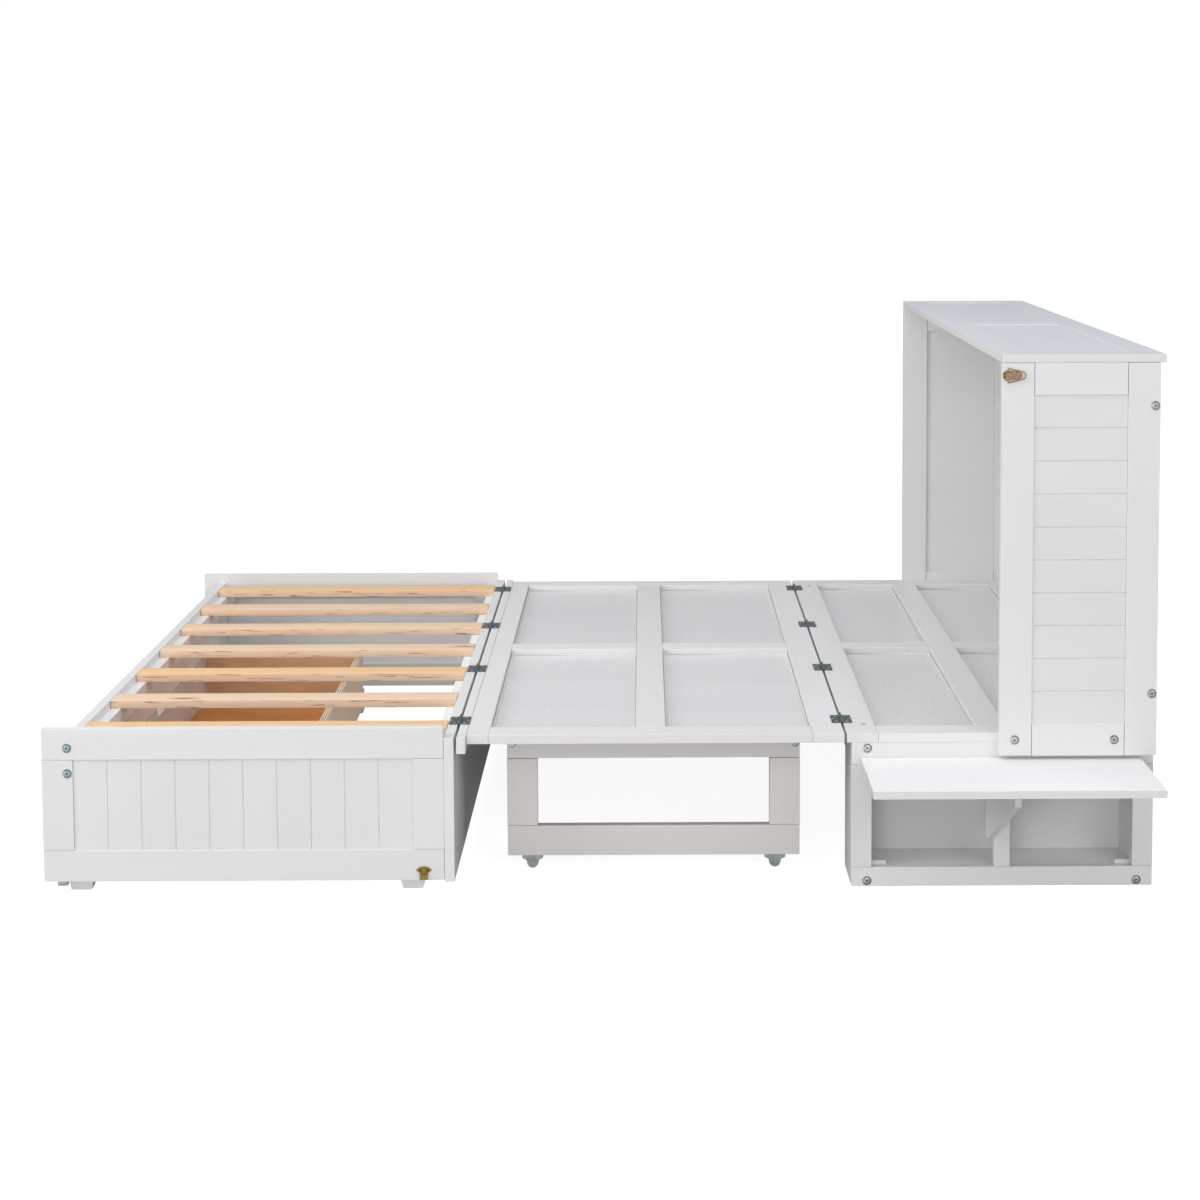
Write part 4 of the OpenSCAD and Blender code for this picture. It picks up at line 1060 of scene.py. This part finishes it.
class MakeShell(Maker):
    """Makes the shell: framed sides with planks, back, top"""
    bl_idname = "cabinet_bed.shell"
    bl_label = "Shell"

    def make(self, context):
        m = SHELL_MEMBER
        for side, seed in (("near", 20), ("far", 21)):
            node = "shell_side_" + side
            lo, hi = span(node)
            boards = upright_frame(Boards(seed, DEEP_JOINT), lo, hi, m, False)
            boards.done(f"shell_frame_{side}", "head", replaces=[node])
        finish_cad(["shell_side_planks"], paint("x"))
        lo, hi = span("shell_back")
        foot = lo.z + SHELL_FOOT + m
        mid = (lo.y + hi.y) / 2
        b = Boards(23)
        b.add(lo, (hi.x, lo.y + m, hi.z), "z")
        b.add((lo.x, hi.y - m, lo.z), hi, "z")
        b.add((lo.x, lo.y + m, lo.z), (hi.x, hi.y - m, foot), "y")
        b.add((lo.x, lo.y + m, hi.z - m), (hi.x, hi.y - m, hi.z), "y")
        b.add((lo.x, mid - m / 2, foot), (hi.x, mid + m / 2, hi.z - m), "z")
        b.done("shell_back_frame", "head", replaces=["shell_back"])
        p = Boards(24)
        for y0, y1 in ((lo.y + m, mid - m / 2), (mid + m / 2, hi.y - m)):
            p.add((lo.x + SHELL_INSET, y0, foot), (hi.x - SHELL_INSET, y1, hi.z - m), "z")
        p.done("shell_back_panels", "head", "smooth", slot="panel_paint")
        lo, hi = span("shell_top")
        mid = (lo.y + hi.y) / 2
        back = hi.x - TOP_BACK
        b = Boards(25)
        b.add(lo, (hi.x, lo.y + m, hi.z), "x", TOP_EASE)
        b.add((lo.x, hi.y - m, lo.z), hi, "x", TOP_EASE)
        b.add((lo.x, lo.y + m, lo.z), (lo.x + m, hi.y - m, hi.z), "y", TOP_EASE)
        b.add((back, lo.y + m, lo.z), (hi.x, hi.y - m, hi.z), "y", TOP_EASE)
        b.add((lo.x + m, mid - m / 2, lo.z), (back, mid + m / 2, hi.z), "x")
        for y0, y1 in ((lo.y + m, mid - m / 2), (mid + m / 2, hi.y - m)):
            b.add((lo.x + m, y0, lo.z), (back, y1, hi.z - TOP_INSET), "y")
        # Painted shade: the top board's upward faces take the darker, bluer top paint, and its
        # other faces take the white.
        b.done("top_board", "head", "lid", replaces=["shell_top"], sides="white")
        finish_cad(["latch_plates", "latch_bail_near", "latch_bail_far"], plated("yellow"))
        finish_cad(["latch_lever_near", "latch_lever_far"], plated("rosy"))
        left, right = span("latch_plates")
        middle = (left.z + right.z) / 2
        for side, face, way in (("near", span("shell_side_near")[0].y - LATCH_PLATE, -1),
                                ("far", span("shell_side_far")[1].y + LATCH_PLATE, 1)):
            places = [((left.x + x * MM, face, middle + z * MM), (0, way, 0))
                      for x in LATCH_SCREWS_X for z in LATCH_SCREWS_Z]
            # Screw heads in the latch plate's holes, in very dark zinc. Part of their darkness is
            # painted shade of the holes.
            screws(f"latch_screws_{side}", "head", places, "dark", LATCH_SCREW)


class MakeFlaps(Maker):
    """Finishes the side flaps and their swing brackets with their own hinge leaves"""
    bl_idname = "cabinet_bed.flaps"
    bl_label = "Flaps and brackets"

    def make(self, context):
        # Painted light: the outer face of each flap's board takes the lighter paint, and its other
        # faces take the white. That is the top of the near flap and the +Y face of the far one.
        # Faces below the board are its hinge leaves, in bright zinc.
        for node, axis in (("flap_near", 2), ("flap_far", 1)):
            board = span(node)[1][axis] - FLAP_THICK
            dress(node, [paint("x", "flap"), paint("x"), plated("bright")], lambda f: (
                2 if f.center[axis] < board else int(f.normal[axis] <= 0.8)))
        finish_cad(["bracket_near", "bracket_far"], paint("z"))


class MakeHinges(Maker):
    """Finishes the hinges and sets their screws"""
    bl_idname = "cabinet_bed.hinges"
    bl_label = "Hinges and screws"

    def make(self, context):
        finish_cad(["head_fold_leaves", "mid_fold_leaves", "foot_fold_leaves",
                    "leg_hinge_top_leaves", "leg_hinge_leaves_near", "leg_hinge_leaves_far"],
                   plated("blue"))
        finish_cad(["shelf_hinge_leaves"], plated("bright"))
        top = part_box("mid_slab_frame")[1][2] + LEAF_THICK + SCREW_LIFT
        lo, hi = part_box("mid_fold_leaves")
        mid_y = (lo[1] + hi[1]) / 2
        pins = {"a": lo[0] + PIN_IN, "b": hi[0] - PIN_IN}
        for body, pin, way in (("foot", "a", -1), ("mid", "a", 1),
                               ("mid", "b", -1), ("head", "b", 1)):
            places = [((pins[pin] + way * x * MM, mid_y + row * MM + y * MM, top), (0, 0, 1))
                      for row in HINGE_ROWS for x, y in HINGE_SCREWS]
            screws(f"hinge_screws_{body}_{pin}", body, places)
        lo, hi = span("head_slab_frame")
        places = [((x, y, hi.z + SCREW_LIFT), (0, 0, 1))
                  for x in (lo.x + SLAB_SCREWS[0], hi.x - SLAB_SCREWS[1])
                  for y in (lo.y + SLAB_SCREWS[2], hi.y - SLAB_SCREWS[3])]
        screws("slab_screws", "head", places, radius=SLAB_SCREW)
        lo, hi = span("catches")
        mid_x = (lo.x + hi.x) / 2
        for side, face, way in (("near", lo.y + CATCH_FACE, -1), ("far", hi.y - CATCH_FACE, 1)):
            places = [((mid_x + x * MM, face, lo.z + CATCH_SCREW_UP), (0, way, 0))
                      for x in CATCH_SCREWS_X]
            screws(f"catch_screws_{side}", "foot", places, "dark", CATCH_SCREW)


class PanelMakers(bpy.types.Panel):
    """The makers of this bed's pieces, in order"""
    bl_idname = "VIEW3D_PT_cabinet_bed"
    bl_label = "Cabinet Bed"
    bl_space_type = "VIEW_3D"
    bl_region_type = "UI"
    bl_category = "Cabinet Bed"

    def draw(self, context):
        for group in GROUPS:
            values = getattr(context.scene, group)
            box = self.layout.box()
            for key in values.__annotations__:
                box.prop(values, key)
        for maker in MAKERS:
            self.layout.operator(maker.bl_idname)


GROUPS = {"bed_paint": BedPaint, "bed_timber": BedTimber, "bed_metal": BedMetal,
          "bed_stage": BedStage}
MAKERS = (MakeStage, MakeFootBox, MakeSlats, MakeDrawer, MakeDeck, MakeLegs, MakeHeadBase,
          MakeHeadDeck, MakeShell, MakeFlaps, MakeHinges)
CLASSES = (*GROUPS.values(), *MAKERS, PanelMakers)


def register():
    for cls in CLASSES:
        bpy.utils.register_class(cls)
    for key, cls in GROUPS.items():
        setattr(bpy.types.Scene, key, PointerProperty(type=cls))


def unregister():
    for key in GROUPS:
        delattr(bpy.types.Scene, key)
    for cls in reversed(CLASSES):
        bpy.utils.unregister_class(cls)


def main():
    register()
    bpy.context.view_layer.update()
    ops = bpy.ops.cabinet_bed
    for make in (ops.stage, ops.foot_box, ops.slats, ops.drawer, ops.deck, ops.legs, ops.head_base,
                 ops.head_deck, ops.shell, ops.flaps, ops.hinges):
        make()


if __name__ == "__main__":
    main()
